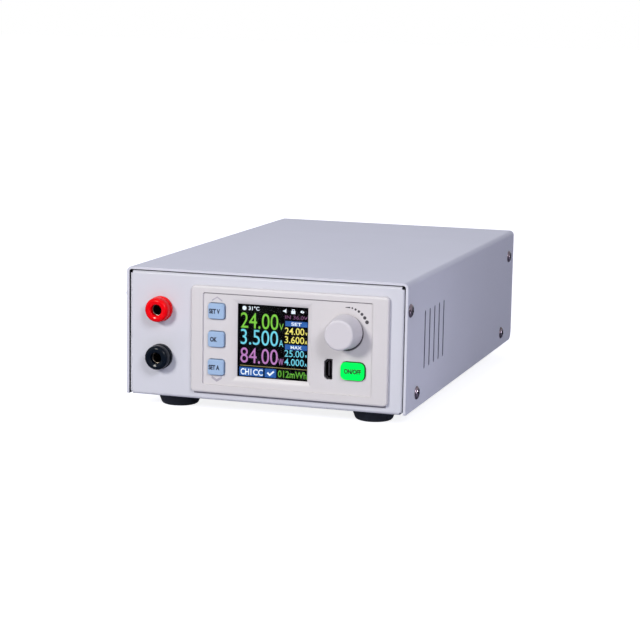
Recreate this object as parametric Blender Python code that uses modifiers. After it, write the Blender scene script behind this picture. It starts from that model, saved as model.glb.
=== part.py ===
# A small laboratory power supply: a folded steel case on four rubber feet, two safety
# sockets and a snap-in control module at the front, and behind them a DC converter,
# a mains supply board, a fan and a mains inlet. Units are metres, +Z is up and the
# front panel faces -Y. The origin lies on the table under the middle of the whole.

import math

import bmesh
import bpy
from mathutils import Matrix, Vector

# General clearances
SEAT_GAP = 0.0003
FACE_GAP = 0.0001
CUT_OVERRUN = 0.0010
JOIN_OVERLAP = 0.0003
WELD_DISTANCE = 0.000001

# Steel sheet: the U-shaped cover and the folded chassis
SHEET = 0.0010
COVER_BEND = 0.0020
COVER_GAP = 0.0004
COVER_REAR_CORNER = 0.0035
COVER_FRONT_CORNER = 0.0008
PANEL_BEND = 0.0011
PANEL_FLANGE = 0.0090
TRAY_FLANGE = 0.0110
FLANGE_RELIEF = 0.0010
REAR_SET_BACK = 0.0068

# Front panel, from the left side to the right and from the underside up
JACK_SIDE = 0.0146
JACK_TO_BEZEL = 0.0133
BEZEL_SIDE = 0.0069
BEZEL_BELOW = 0.0032
BEZEL_ABOVE = 0.0055

# Depth inside the case, from the front panel to the rear one
MODULE_ZONE = 0.0600
SUPPLY_LENGTH = 0.0850
REAR_ZONE = 0.0362

# Rubber feet
FOOT_HEIGHT = 0.0055
FOOT_TOP_RADIUS = 0.0092
FOOT_BOTTOM_RADIUS = 0.0072
FOOT_EDGE = 0.0014
FOOT_SIDE = 0.0168
FOOT_INSET = 0.0156
FOOT_NECK_RADIUS = 0.0026
FOOT_HEAD_RADIUS = 0.0034
FOOT_HEAD_HEIGHT = 0.0012

# Cover screws
SCREW_HEAD_RADIUS = 0.00265
SCREW_HEAD_HEIGHT = 0.0009
SCREW_SHANK_RADIUS = 0.00135
SCREW_SHANK_LENGTH = 0.0050
SCREW_CROSS_LENGTH = 0.0026
SCREW_CROSS_WIDTH = 0.0006
SCREW_CROSS_DEPTH = 0.0006
SCREW_UPPER_DROP = 0.0109
SCREW_LOWER_HEIGHT = 0.0062
SCREW_UPPER_INSET = 0.00375
SCREW_LOWER_INSET = 0.01565

# Vent slots in the cover's sides
SLOT_COUNT = 5
SLOT_WIDTH = 0.0019
SLOT_LENGTH = 0.0234
SLOT_PITCH = 0.0074
SLOT_FIRST = 0.0269
SLOT_MIDDLE_HEIGHT = 0.0253

# Safety sockets for 4 mm plugs
JACK_PITCH = 0.01905
JACK_RAISE = 0.0012
JACK_FRONT_RADIUS = 0.0048
JACK_BASE_RADIUS = 0.0050
JACK_REACH = 0.0058
JACK_EDGE = 0.0012
JACK_GROOVE_DEPTH = 0.0002
JACK_GROOVE_WIDTH = 0.0006
JACK_GROOVE_PLACE = 0.0020
JACK_COUNTERSINK = 0.0006
JACK_STEM_RADIUS = 0.0040
JACK_STEM_LENGTH = 0.0150
JACK_NUT_ACROSS = 0.0112
JACK_NUT_THICKNESS = 0.0030
JACK_MOUTH_RADIUS = 0.0021
SLEEVE_BORE_RADIUS = 0.00205
SLEEVE_WALL = 0.00045
SLEEVE_SET_BACK = 0.0025
SLEEVE_BORE_DEPTH = 0.0165
SLEEVE_BACK_WALL = 0.0025
SOLDER_TAIL_RADIUS = 0.00125
SOLDER_TAIL_LENGTH = 0.0050

# Control module: moulded bezel
BEZEL_PROUD = 0.0020
BEZEL_CORNER = 0.0015
BEZEL_EDGE = 0.0008
BEZEL_OVERHANG_X = 0.0040
BEZEL_OVERHANG_Z = 0.00165
FIELD_LEFT = 0.0050
FIELD_RIGHT = 0.0062
FIELD_BELOW = 0.0033
FIELD_ABOVE = 0.0026
FIELD_DEPTH = 0.0007
FIELD_CORNER = 0.0008
FACE_WALL = 0.0016
SKIRT_WALL = 0.0016
SKIRT_DEPTH = 0.0150
SNAP_WIDTH = 0.0120
SNAP_HEIGHT = 0.0008
SNAP_LENGTH = 0.0040
POST_RADIUS = 0.0020
POST_PIN_RADIUS = 0.0012
POST_INSET = 0.0028
POST_MARGIN = 0.0007

# Control module: display, keys, button, knob and USB socket
SCREEN_SIZE = 0.0288
SCREEN_LEFT = 0.0188
SCREEN_RIGHT = 0.0326
SCREEN_BELOW = 0.0071
SCREEN_ABOVE = 0.0064
WINDOW_CHAMFER = 0.0021
WINDOW_STEP = 0.0003
GLASS_MARGIN = 0.0010
GLASS_THICKNESS = 0.0008
DISPLAY_MARGIN_X = 0.0025
DISPLAY_MARGIN_Z = 0.0015
DISPLAY_THICKNESS = 0.0026
KEY_LEFT = 0.0107
KEY_PITCH = 0.0111
KEY_WIDTH = 0.00665
KEY_HEIGHT = 0.0061
KEY_CORNER = 0.0009
KEY_PROUD = 0.0013
KEY_EDGE = 0.0003
KEY_CLEARANCE = 0.00025
KEY_LIP = 0.0006
KEY_LIP_THICKNESS = 0.0008
KEY_STEM_RADIUS = 0.0014
KEY_TRAVEL = 0.0005
BUTTON_RIGHT = 0.0138
BUTTON_DROP = 0.00825
BUTTON_WIDTH = 0.0096
BUTTON_HEIGHT = 0.0069
BUTTON_CORNER = 0.0020
KNOB_RIGHT = 0.0168
KNOB_RAISE = 0.0070
KNOB_LENGTH = 0.0099
KNOB_BASE_RADIUS = 0.0068
KNOB_FRONT_RADIUS = 0.0058
KNOB_EDGE = 0.0010
KNOB_FACE_WALL = 0.0012
KNOB_RECESS_RADIUS = 0.0052
KNOB_RECESS_DEPTH = 0.0020
PRESS_TRAVEL = 0.0005
ENCODER_SIZE = 0.0120
ENCODER_DEPTH = 0.0060
ENCODER_BUSHING_WALL = 0.0006
ENCODER_HOLE_CLEARANCE = 0.0004
SHAFT_RADIUS = 0.0027
PLUNGER_THICKNESS = 0.0012
USB_RIGHT = 0.0238
USB_DROP = 0.0082
USB_SLOT_WIDTH = 0.0034
USB_SLOT_HEIGHT = 0.0081
USB_CHAMFER = 0.0011
USB_SHELL_WALL = 0.0003
USB_SET_BACK = 0.0005
USB_TONGUE = 0.0007

# Control module: boards and converter
BOARD_THICKNESS = 0.0016
BOARD_CLEARANCE = 0.0005
CONTROL_BOARD_DEPTH = 0.0080
SWITCH_SIZE = 0.0060
SWITCH_HEIGHT = 0.0036
SWITCH_PLUNGER_RADIUS = 0.0017
SWITCH_PLUNGER_HEIGHT = 0.0005
CONVERTER_DEPTH = 0.0270
CONVERTER_SINK_WIDTH = 0.0340
CONVERTER_SINK_HEIGHT = 0.0290
CONVERTER_SINK_BASE = 0.0025
CONVERTER_SINK_FIN = 0.0100
CONVERTER_SINK_FINS = 7
FIN_THICKNESS = 0.0012
INDUCTOR_RADIUS = 0.0085
INDUCTOR_HOLE_RADIUS = 0.0038
INDUCTOR_HEIGHT = 0.0090
INDUCTOR_EDGE = 0.0015
CONVERTER_CAP_RADIUS = 0.0046
CONVERTER_CAP_HEIGHT = 0.0140
TERMINAL_POLE = 0.0060
TERMINAL_DEPTH = 0.0080
TERMINAL_HEIGHT = 0.0100
TERMINAL_ENTRY = 0.0036
TERMINAL_ENTRY_DEPTH = 0.0040
CONVERTER_POLES = 4
CONVERTER_TERMINAL_GAP = 0.0009

# Mains supply board
SUPPLY_SIDE = 0.0095
STANDOFF_HEIGHT = 0.0060
STANDOFF_RADIUS = 0.0030
STANDOFF_INSET = 0.0050
TRANSFORMER_WIDTH = 0.0300
TRANSFORMER_LENGTH = 0.0240
TRANSFORMER_HEIGHT = 0.0240
TRANSFORMER_CORE = 0.0090
TRANSFORMER_WINDING_SET_IN = 0.0030
BULK_CAP_RADIUS = 0.0090
BULK_CAP_HEIGHT = 0.0280
CAP_EDGE = 0.0008
CHOKE_RADIUS = 0.0075
CHOKE_HOLE_RADIUS = 0.0032
CHOKE_WIDTH = 0.0070
CHOKE_EDGE = 0.0014
SUPPLY_SINK_LENGTH = 0.0560
SUPPLY_SINK_HEIGHT = 0.0250
SUPPLY_SINK_WEB = 0.0020
SUPPLY_SINK_FIN = 0.0050
SUPPLY_SINK_FINS = 5
SUPPLY_CAP_RADIUS = 0.0048
SUPPLY_CAP_HEIGHT = 0.0180
SUPPLY_POLES = 3

# Mains inlet with its fuse drawer and switch
INLET_FLANGE_MARGIN_X = 0.0020
INLET_FLANGE_MARGIN_Z = 0.0022
INLET_FLANGE_THICKNESS = 0.0022
INLET_CORNER = 0.0020
INLET_EDGE = 0.0005
INLET_WALL = 0.00225
INLET_BODY_DEPTH = 0.0200
INLET_RECESS_WIDTH = 0.0170
INLET_RECESS_HEIGHT = 0.0244
INLET_RECESS_DEPTH = 0.0155
INLET_RECESS_CHAMFER = 0.0045
PIN_SPACING = 0.0070
PIN_OFFSET = 0.0020
PIN_WIDTH = 0.0040
PIN_THICKNESS = 0.0020
PIN_LENGTH = 0.0125
PIN_TIP = 0.0005
PIN_TAIL = 0.0060
DRAWER_WIDTH = 0.0066
DRAWER_HEIGHT = 0.0226
DRAWER_DEPTH = 0.0180
DRAWER_PROUD = 0.0008
FUSE_RADIUS = 0.0026
FUSE_LENGTH = 0.0200
FUSE_CAP_LENGTH = 0.0050
FUSE_CAP_STEP = 0.0002
FUSE_INSET = 0.0060
ROCKER_WIDTH = 0.0126
ROCKER_HALF_HEIGHT = 0.0095
ROCKER_PROUD = 0.0022
ROCKER_VALLEY = 0.0004
ROCKER_BODY_DEPTH = 0.0030
ROCKER_KEEL_DEPTH = 0.0060
ROCKER_KEEL_HALF = 0.0035
ROCKER_AXIS_DEPTH = 0.0020
ROCKER_TILT_DEG = 10.0
INLET_SIDE = 0.0050

# Cooling fan and the punched grille behind it
FAN_SIZE = 0.0400
FAN_THICKNESS = 0.0100
FAN_CORNER = 0.0030
FAN_BORE_RADIUS = 0.0190
FAN_SCREW_MARGIN = 0.0040
FAN_SCREW_HOLE_RADIUS = 0.0017
FAN_HUB_RADIUS = 0.0085
FAN_HUB_WALL = 0.0010
FAN_HUB_LENGTH = 0.0072
FAN_STRUT_WIDTH = 0.0024
FAN_STRUT_THICKNESS = 0.0015
FAN_PIN_RADIUS = 0.0010
FAN_PIN_LENGTH = 0.0050
FAN_BLADES = 7
FAN_BLADE_GAP = 0.0007
FAN_BLADE_CHORD = 0.0088
FAN_BLADE_THICKNESS = 0.0008
FAN_BLADE_ROOT_DEG = 42.0
FAN_BLADE_TIP_DEG = 28.0
FAN_SIDE = 0.0030
GRILLE_RINGS = 3
GRILLE_ARCS = 4
GRILLE_FIRST_RADIUS = 0.0070
GRILLE_PITCH = 0.0040
GRILLE_SLOT = 0.0024
GRILLE_BRIDGE = 0.0030

# Wires from the sockets to the converter
WIRE_RADIUS = 0.0010
WIRE_STEPS = 4

# Places of the parts on each board, as shares of its half width and half length
CONVERTER_SINK_SHARES = (-0.46, 0.0)
INDUCTOR_SHARES = (0.40, 0.40)
CONVERTER_CAP_SHARES = ((0.84, 0.66), (0.84, 0.06))
CONVERTER_TERMINAL_HEIGHT_SHARE = -0.66
TRANSFORMER_SHARES = (0.12, -0.08)
BULK_CAP_SHARES = (-0.62, 0.20)
CHOKE_SHARES = (-0.62, 0.72)
SUPPLY_SINK_SHARES = (0.76, 0.0)
SUPPLY_CAP_SHARES = ((0.24, -0.76), (0.52, -0.76))
OUTPUT_TERMINAL_SHARES = (-0.40, -0.80)
MAINS_TERMINAL_SHARES = (-0.08, 0.80)

# Routes of the two wires, as shares of the way from the socket to the terminal
NEGATIVE_WIRE_SHARES = (
    (0.0, 0.0, 0.0),
    (0.0, 0.33, 0.0),
    (0.085, 0.98, 0.29),
    (0.31, 1.33, 0.42),
    (0.76, 1.49, 1.0),
    (0.95, 1.44, 1.0),
    (1.0, 1.22, 1.0),
    (1.0, 1.0, 1.0),
)
POSITIVE_WIRE_SHARES = (
    (0.0, 0.0, 0.0),
    (0.0, 0.33, 0.0),
    (0.093, 1.09, 0.089),
    (0.31, 1.55, 0.355),
    (0.72, 1.765, 0.467),
    (0.94, 1.71, 0.733),
    (1.0, 1.33, 0.956),
    (1.0, 1.0, 1.0),
)

# Sizes that follow from the ones above
BEZEL_WIDTH = SCREEN_LEFT + SCREEN_SIZE + SCREEN_RIGHT
BEZEL_HEIGHT = SCREEN_BELOW + SCREEN_SIZE + SCREEN_ABOVE
SCREEN_RAISE = (SCREEN_BELOW - SCREEN_ABOVE) / 2
COVER_WIDTH = JACK_SIDE + JACK_TO_BEZEL + BEZEL_WIDTH + BEZEL_SIDE
COVER_HEIGHT = BEZEL_BELOW + BEZEL_HEIGHT + BEZEL_ABOVE
CHASSIS_DEPTH = MODULE_ZONE + SUPPLY_LENGTH + REAR_ZONE
COVER_DEPTH = CHASSIS_DEPTH + REAR_SET_BACK
PANEL_WIDTH = COVER_WIDTH - 2 * (SHEET + COVER_GAP)
PANEL_TOP = COVER_HEIGHT - SHEET - COVER_GAP
SCREW_HOLE_RADIUS = SCREW_SHANK_RADIUS + SEAT_GAP
FIELD_FACE = FIELD_DEPTH - BEZEL_PROUD
FACE_BACK = FIELD_FACE + FACE_WALL
SKIRT_WIDTH = BEZEL_WIDTH - 2 * BEZEL_OVERHANG_X
SKIRT_HEIGHT = BEZEL_HEIGHT - 2 * BEZEL_OVERHANG_Z
MODULE_X = COVER_WIDTH / 2 - BEZEL_SIDE - BEZEL_WIDTH / 2
MODULE_Z = BEZEL_BELOW + BEZEL_HEIGHT / 2
JACK_X = JACK_SIDE - COVER_WIDTH / 2
JACK_Z = MODULE_Z + JACK_RAISE
SCREEN_X = SCREEN_LEFT + SCREEN_SIZE / 2 - BEZEL_WIDTH / 2
KEY_X = KEY_LEFT - BEZEL_WIDTH / 2
BUTTON_X = BEZEL_WIDTH / 2 - BUTTON_RIGHT
KNOB_X = BEZEL_WIDTH / 2 - KNOB_RIGHT
USB_X = BEZEL_WIDTH / 2 - USB_RIGHT
KNOB_BASE = FIELD_FACE - PRESS_TRAVEL - FACE_GAP
KNOB_FRONT = KNOB_BASE - KNOB_LENGTH
BOARD_WIDTH = SKIRT_WIDTH - 2 * (SKIRT_WALL + BOARD_CLEARANCE)
BOARD_HEIGHT = SKIRT_HEIGHT - 2 * (SKIRT_WALL + BOARD_CLEARANCE)
POST_Z = SKIRT_HEIGHT / 2 - SKIRT_WALL - POST_INSET
POST_OUTER_X = SKIRT_WIDTH / 2 - SKIRT_WALL - POST_INSET
POST_INNER_X = SCREEN_X + SCREEN_SIZE / 2 + DISPLAY_MARGIN_X + POST_MARGIN + POST_RADIUS
SWITCH_FRONT = CONTROL_BOARD_DEPTH - SWITCH_HEIGHT - SWITCH_PLUNGER_HEIGHT
ENCODER_BACK = CONTROL_BOARD_DEPTH - SEAT_GAP
ENCODER_BORE_RADIUS = SHAFT_RADIUS + SEAT_GAP
ENCODER_BUSHING_RADIUS = ENCODER_BORE_RADIUS + ENCODER_BUSHING_WALL
SUPPLY_WIDTH = COVER_WIDTH - 2 * SUPPLY_SIDE
SUPPLY_Y = MODULE_ZONE + SUPPLY_LENGTH / 2
SUPPLY_BOTTOM = SHEET + STANDOFF_HEIGHT + SEAT_GAP
SUPPLY_TOP = SUPPLY_BOTTOM + BOARD_THICKNESS
REAR_INNER = CHASSIS_DEPTH - SHEET
REAR_MIDDLE_Z = PANEL_TOP / 2
ROCKER_REACH = math.hypot(ROCKER_HALF_HEIGHT, ROCKER_PROUD + ROCKER_AXIS_DEPTH)
ROCKER_CAVITY_HEIGHT = 2 * (ROCKER_REACH + SEAT_GAP)
ROCKER_CAVITY_WIDTH = ROCKER_WIDTH + 2 * SEAT_GAP
DRAWER_CAVITY_WIDTH = DRAWER_WIDTH + 2 * SEAT_GAP
INLET_WIDTH = INLET_RECESS_WIDTH + DRAWER_CAVITY_WIDTH + ROCKER_CAVITY_WIDTH + 4 * INLET_WALL
INLET_HEIGHT = INLET_RECESS_HEIGHT + 2 * (INLET_WALL - CUT_OVERRUN)
INLET_X = INLET_SIDE + INLET_WIDTH / 2 + INLET_FLANGE_MARGIN_X - PANEL_WIDTH / 2
INLET_FACE = FACE_GAP + INLET_FLANGE_THICKNESS
RECESS_X = INLET_WIDTH / 2 - INLET_WALL - INLET_RECESS_WIDTH / 2
DRAWER_X = RECESS_X - INLET_RECESS_WIDTH / 2 - INLET_WALL - DRAWER_CAVITY_WIDTH / 2
ROCKER_X = DRAWER_X - DRAWER_CAVITY_WIDTH / 2 - INLET_WALL - ROCKER_CAVITY_WIDTH / 2
FAN_SCREW_SPACING = FAN_SIZE - 2 * FAN_SCREW_MARGIN
FAN_X = PANEL_WIDTH / 2 - SHEET - FAN_SIDE - FAN_SIZE / 2
FAN_BACK = REAR_INNER - SEAT_GAP
FRONT_Y = -(COVER_DEPTH + KNOB_FRONT) / 2

# Colour, roughness and metallic value of each finish
FINISHES = {
    "grey paint": ((0.62, 0.62, 0.68), 0.45, 0.0),
    "panel paint": ((0.68, 0.68, 0.73), 0.45, 0.0),
    "cream plastic": ((0.70, 0.66, 0.68), 0.40, 0.0),
    "black rubber": ((0.012, 0.013, 0.016), 0.80, 0.0),
    "black plastic": ((0.010, 0.011, 0.016), 0.35, 0.0),
    "red plastic": ((0.72, 0.003, 0.007), 0.30, 0.0),
    "blue plastic": ((0.46, 0.62, 0.84), 0.40, 0.0),
    "lit green": ((0.02, 0.95, 0.12), 0.35, 0.0),
    "screen glass": ((0.01, 0.01, 0.012), 0.08, 0.0),
    "steel": ((0.60, 0.60, 0.62), 0.30, 1.0),
    "aluminium": ((0.75, 0.76, 0.78), 0.40, 1.0),
    "brass": ((0.80, 0.66, 0.38), 0.28, 1.0),
    "nickel": ((0.72, 0.70, 0.66), 0.25, 1.0),
    "green board": ((0.02, 0.16, 0.06), 0.45, 0.0),
    "green terminal": ((0.05, 0.36, 0.12), 0.45, 0.0),
    "ferrite": ((0.05, 0.05, 0.055), 0.55, 0.0),
    "copper winding": ((0.60, 0.26, 0.10), 0.35, 0.6),
    "black wire": ((0.015, 0.015, 0.018), 0.50, 0.0),
    "red wire": ((0.60, 0.01, 0.01), 0.50, 0.0),
}

# Outline (u, v) and depth w to the part's own axes
AXIS_MAPS = {
    "x": Matrix(((0, 0, 1, 0), (1, 0, 0, 0), (0, 1, 0, 0), (0, 0, 0, 1))),
    "y": Matrix(((1, 0, 0, 0), (0, 0, 1, 0), (0, 1, 0, 0), (0, 0, 0, 1))),
    "z": Matrix.Identity(4),
}

# Turn that points a turned piece's +Z along the named direction
FACINGS = {
    "front": (math.pi / 2, 0, 0),
    "back": (-math.pi / 2, 0, 0),
    "right": (0, math.pi / 2, 0),
    "left": (0, -math.pi / 2, 0),
    "up": (0, 0, 0),
}


# Scene, collections and reference frames

def clear_scene():
    for item in list(bpy.data.objects):
        bpy.data.objects.remove(item, do_unlink=True)


def new_collection(name):
    collection = bpy.data.collections.new(name)
    bpy.context.scene.collection.children.link(collection)
    return collection


def new_frame(name, location, parent=None):
    empty = bpy.data.objects.new(name, None)
    empty.empty_display_size = SCREEN_SIZE
    empty.location = location
    empty.parent = parent
    parts.objects.link(empty)
    return empty


# Objects, finishes and Boolean operations

def add_finish(piece, finish):
    colour, roughness, metallic = FINISHES[finish]
    material = bpy.data.materials.new(f"{piece.name} {finish}")
    material.use_nodes = True
    shader = material.node_tree.nodes["Principled BSDF"]
    shader.inputs["Base Color"].default_value = (*colour, 1)
    shader.inputs["Roughness"].default_value = roughness
    shader.inputs["Metallic"].default_value = metallic
    material.diffuse_color = (*colour, 1)
    piece.data.materials.append(material)


def place(piece, parent, location=(0, 0, 0), facing="up"):
    piece.parent = parent
    piece.location = location
    piece.rotation_euler = FACINGS[facing]
    return piece


def add_piece(name, data, finish):
    """A visible sub-part, or a cutter when it has no finish."""
    piece = bpy.data.objects.new(name, data)
    if finish:
        parts.objects.link(piece)
        add_finish(piece, finish)
    else:
        cutters.objects.link(piece)
        piece.hide_render = True
        piece.display_type = "WIRE"
    return piece


def combine(piece, other, operation):
    modifier = piece.modifiers.new(other.name, "BOOLEAN")
    modifier.operation = operation
    modifier.object = other
    modifier.solver = "EXACT"


def cut(piece, *others):
    for other in others:
        combine(piece, other, "DIFFERENCE")


def join(piece, *others):
    for other in others:
        combine(piece, other, "UNION")


def finished_mesh(piece):
    """The mesh of a piece with all its modifiers, for use by several objects."""
    evaluated = piece.evaluated_get(bpy.context.evaluated_depsgraph_get())
    return bpy.data.meshes.new_from_object(evaluated)


# Outlines

def arc(centre, radius, start_deg, end_deg, steps):
    points = []
    for step in range(steps + 1):
        angle = math.radians(start_deg + (end_deg - start_deg) * step / steps)
        points.append((centre[0] + radius * math.cos(angle), centre[1] + radius * math.sin(angle)))
    return points


def circle(radius, steps, centre=(0, 0)):
    return arc(centre, radius, 0, 360, steps)[:-1]


def rectangle(width, height, centre=(0, 0)):
    half_width = width / 2
    half_height = height / 2
    signs = ((-1, -1), (1, -1), (1, 1), (-1, 1))
    return [(centre[0] + sx * half_width, centre[1] + sz * half_height) for sx, sz in signs]


def rounded_rectangle(width, height, radius, centre=(0, 0), steps=3):
    half_width = width / 2 - radius
    half_height = height / 2 - radius
    points = []
    for index, (sx, sz) in enumerate(((1, 1), (-1, 1), (-1, -1), (1, -1))):
        corner = (centre[0] + sx * half_width, centre[1] + sz * half_height)
        points += arc(corner, radius, 90 * index, 90 * index + 90, steps)
    return points


def chamfered_rectangle(width, height, chamfer, side, centre=(0, 0)):
    """A rectangle whose two corners on one side, -1 or 1 along u, are cut off."""
    half_width = width / 2
    half_height = height / 2
    points = [
        (-side * half_width, -half_height),
        (side * (half_width - chamfer), -half_height),
        (side * half_width, chamfer - half_height),
        (side * half_width, half_height - chamfer),
        (side * (half_width - chamfer), half_height),
        (-side * half_width, half_height),
    ]
    return [(centre[0] + u, centre[1] + v) for u, v in points]


def comb(width, base, fin, fins):
    """A heat sink's section: a base along u with fins standing up in v."""
    pitch = (width - FIN_THICKNESS) / (fins - 1)
    points = [(width / 2, 0), (-width / 2, 0)]
    for index in range(fins):
        left = index * pitch - width / 2
        right = left + FIN_THICKNESS
        points += [(left, base), (left, base + fin), (right, base + fin), (right, base)]
    return dedupe(points)


def dedupe(points):
    """The outline without points that repeat the one before."""
    kept = []
    for point in points:
        if not kept or math.dist(point, kept[-1]) > WELD_DISTANCE:
            kept.append(point)
    return kept


# Solids

def lay_along(shape, axis, shift=0):
    """Turns an outline's u, v and depth w to the part's axes; a mirroring turn flips faces."""
    turn = AXIS_MAPS[axis]
    shape.transform(turn @ Matrix.Translation((0, 0, shift)))
    if turn.determinant() < 0:
        bmesh.ops.reverse_faces(shape, faces=shape.faces)


def plate(name, outlines, axis, start, end, finish=None, parent=None, location=(0, 0, 0)):
    """A flat outline, with any holes as further outlines, given its thickness."""
    curve = bpy.data.curves.new(name, "CURVE")
    curve.dimensions = "2D"
    curve.fill_mode = "BOTH"
    curve.extrude = (end - start) / 2
    for outline in outlines:
        spline = curve.splines.new("POLY")
        spline.points.add(len(outline) - 1)
        for point, (u, v) in zip(spline.points, outline):
            point.co = (u, v, 0, 1)
        spline.use_cyclic_u = True
    holder = bpy.data.objects.new(name + "_outline", curve)
    cutters.objects.link(holder)
    mesh = finished_mesh(holder)
    bpy.data.objects.remove(holder)
    bpy.data.curves.remove(curve)
    shape = bmesh.new()
    shape.from_mesh(mesh)
    bmesh.ops.remove_doubles(shape, verts=shape.verts, dist=WELD_DISTANCE)
    bmesh.ops.recalc_face_normals(shape, faces=shape.faces)
    lay_along(shape, axis, (start + end) / 2)
    shape.to_mesh(mesh)
    shape.free()
    return place(add_piece(name, mesh, finish), parent, location)


def block(name, outline, axis, start, end, finish=None, parent=None, location=(0, 0, 0),
          edge=0, edge_at="start", edge_steps=2):
    """An outline without holes given its thickness, with one face's rim rounded."""
    shape = bmesh.new()
    rim = [shape.verts.new((u, v, start)) for u, v in outline]
    first = shape.faces.new(rim)
    grown = bmesh.ops.extrude_face_region(shape, geom=[first])
    far = [item for item in grown["geom"] if isinstance(item, bmesh.types.BMVert)]
    bmesh.ops.translate(shape, verts=far, vec=(0, 0, end - start))
    bmesh.ops.recalc_face_normals(shape, faces=shape.faces)
    if edge:
        depth = start if edge_at == "start" else end
        rim_edges = [item for item in shape.edges
                     if all(abs(vert.co.z - depth) < WELD_DISTANCE for vert in item.verts)]
        bmesh.ops.bevel(shape, geom=rim_edges, offset=edge, segments=edge_steps,
                        profile=0.5, affect="EDGES", clamp_overlap=True)
    lay_along(shape, axis)
    mesh = bpy.data.meshes.new(name)
    shape.to_mesh(mesh)
    shape.free()
    return place(add_piece(name, mesh, finish), parent, location)


def box(name, low, high, finish=None, parent=None):
    """An upright box between two corners."""
    size = [b - a for a, b in zip(low, high)]
    middle = [(a + b) / 2 for a, b in zip(low, high)]
    shape = bmesh.new()
    bmesh.ops.create_cube(shape, size=1)
    bmesh.ops.scale(shape, vec=size, verts=shape.verts)
    mesh = bpy.data.meshes.new(name)
    shape.to_mesh(mesh)
    shape.free()
    return place(add_piece(name, mesh, finish), parent, middle)


def turned(name, profile, steps, finish=None, parent=None, location=(0, 0, 0), facing="up",
           ring=False):
    """A profile (radius, height) turned about its axis; a ring's profile closes on itself."""
    mesh = bpy.data.meshes.new(name)
    shape = bmesh.new()
    verts = [shape.verts.new((radius, 0, height)) for radius, height in profile]
    for first, second in zip(verts, verts[1:]):
        shape.edges.new((first, second))
    if ring:
        shape.edges.new((verts[-1], verts[0]))
    shape.to_mesh(mesh)
    shape.free()
    piece = place(add_piece(name, mesh, finish), parent, location, facing)
    turn = piece.modifiers.new("turn", "SCREW")
    turn.axis = "Z"
    turn.angle = math.tau
    turn.steps = steps
    turn.render_steps = steps
    turn.use_merge_vertices = True
    turn.merge_threshold = WELD_DISTANCE
    turn.use_smooth_shade = True
    return piece


def cylinder(name, radius, start, end, steps, finish=None, parent=None, location=(0, 0, 0),
             facing="up"):
    profile = [(0, end), (radius, end), (radius, start), (0, start)]
    return turned(name, profile, steps, finish, parent, location, facing)


def edge_rounding(radius, height, edge, steps, corner):
    """Quarter circle on a profile's corner: "top" turns over the edge, "bottom" under it."""
    if corner == "top":
        return arc((radius - edge, height - edge), edge, 90, 0, steps)
    return arc((radius - edge, height + edge), edge, 0, -90, steps)


# Case

def chain(shape, points, x):
    """Joined edges through the (y, z) points in the plane at x."""
    verts = [shape.verts.new((x, y, z)) for y, z in points]
    return [shape.edges.new(pair) for pair in zip(verts, verts[1:])]


def fold_out(shape, edge, axis, centre, run, length):
    """A side flange on an edge: a quarter bend about an axis, then a flat run."""
    geometry = [edge, *edge.verts]
    bend = bmesh.ops.spin(shape, geom=geometry, cent=centre, axis=axis,
                          angle=math.pi / 2, steps=3, dvec=(0, 0, 0))
    last = [item for item in bend["geom_last"] if isinstance(item, bmesh.types.BMEdge)]
    grown = bmesh.ops.extrude_edge_only(shape, edges=last)
    moved = [item for item in grown["geom"] if isinstance(item, bmesh.types.BMVert)]
    bmesh.ops.translate(shape, verts=moved, vec=Vector(run) * length)


def folded_shell(name, shape, parent, finish):
    bmesh.ops.recalc_face_normals(shape, faces=shape.faces)
    mesh = bpy.data.meshes.new(name)
    shape.to_mesh(mesh)
    shape.free()
    piece = place(add_piece(name, mesh, finish), parent)
    wall = piece.modifiers.new("sheet", "SOLIDIFY")
    wall.thickness = SHEET
    wall.offset = -1
    wall.use_even_offset = True
    return piece


def chassis_profile():
    """Outer face of the chassis strip, top flange to top flange, and its flat stretches."""
    low = PANEL_BEND
    high = PANEL_TOP - PANEL_BEND
    rear = CHASSIS_DEPTH - PANEL_BEND
    front_top = arc((low, high), PANEL_BEND, 90, 180, 3)
    front_low = arc((low, low), PANEL_BEND, 180, 270, 3)
    rear_low = arc((rear, low), PANEL_BEND, -90, 0, 3)
    rear_top = arc((rear, high), PANEL_BEND, 0, 90, 3)
    tray_start = PANEL_FLANGE + FLANGE_RELIEF
    tray = [(tray_start, 0), (CHASSIS_DEPTH - tray_start, 0)]
    points = [(PANEL_FLANGE, PANEL_TOP), *front_top, *front_low, *tray, *rear_low, *rear_top,
              (CHASSIS_DEPTH - PANEL_FLANGE, PANEL_TOP)]
    front_edge = len(front_top)
    tray_edge = front_edge + len(front_low) + 1
    rear_edge = tray_edge + 1 + len(rear_low)
    return points, front_edge, tray_edge, rear_edge


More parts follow.
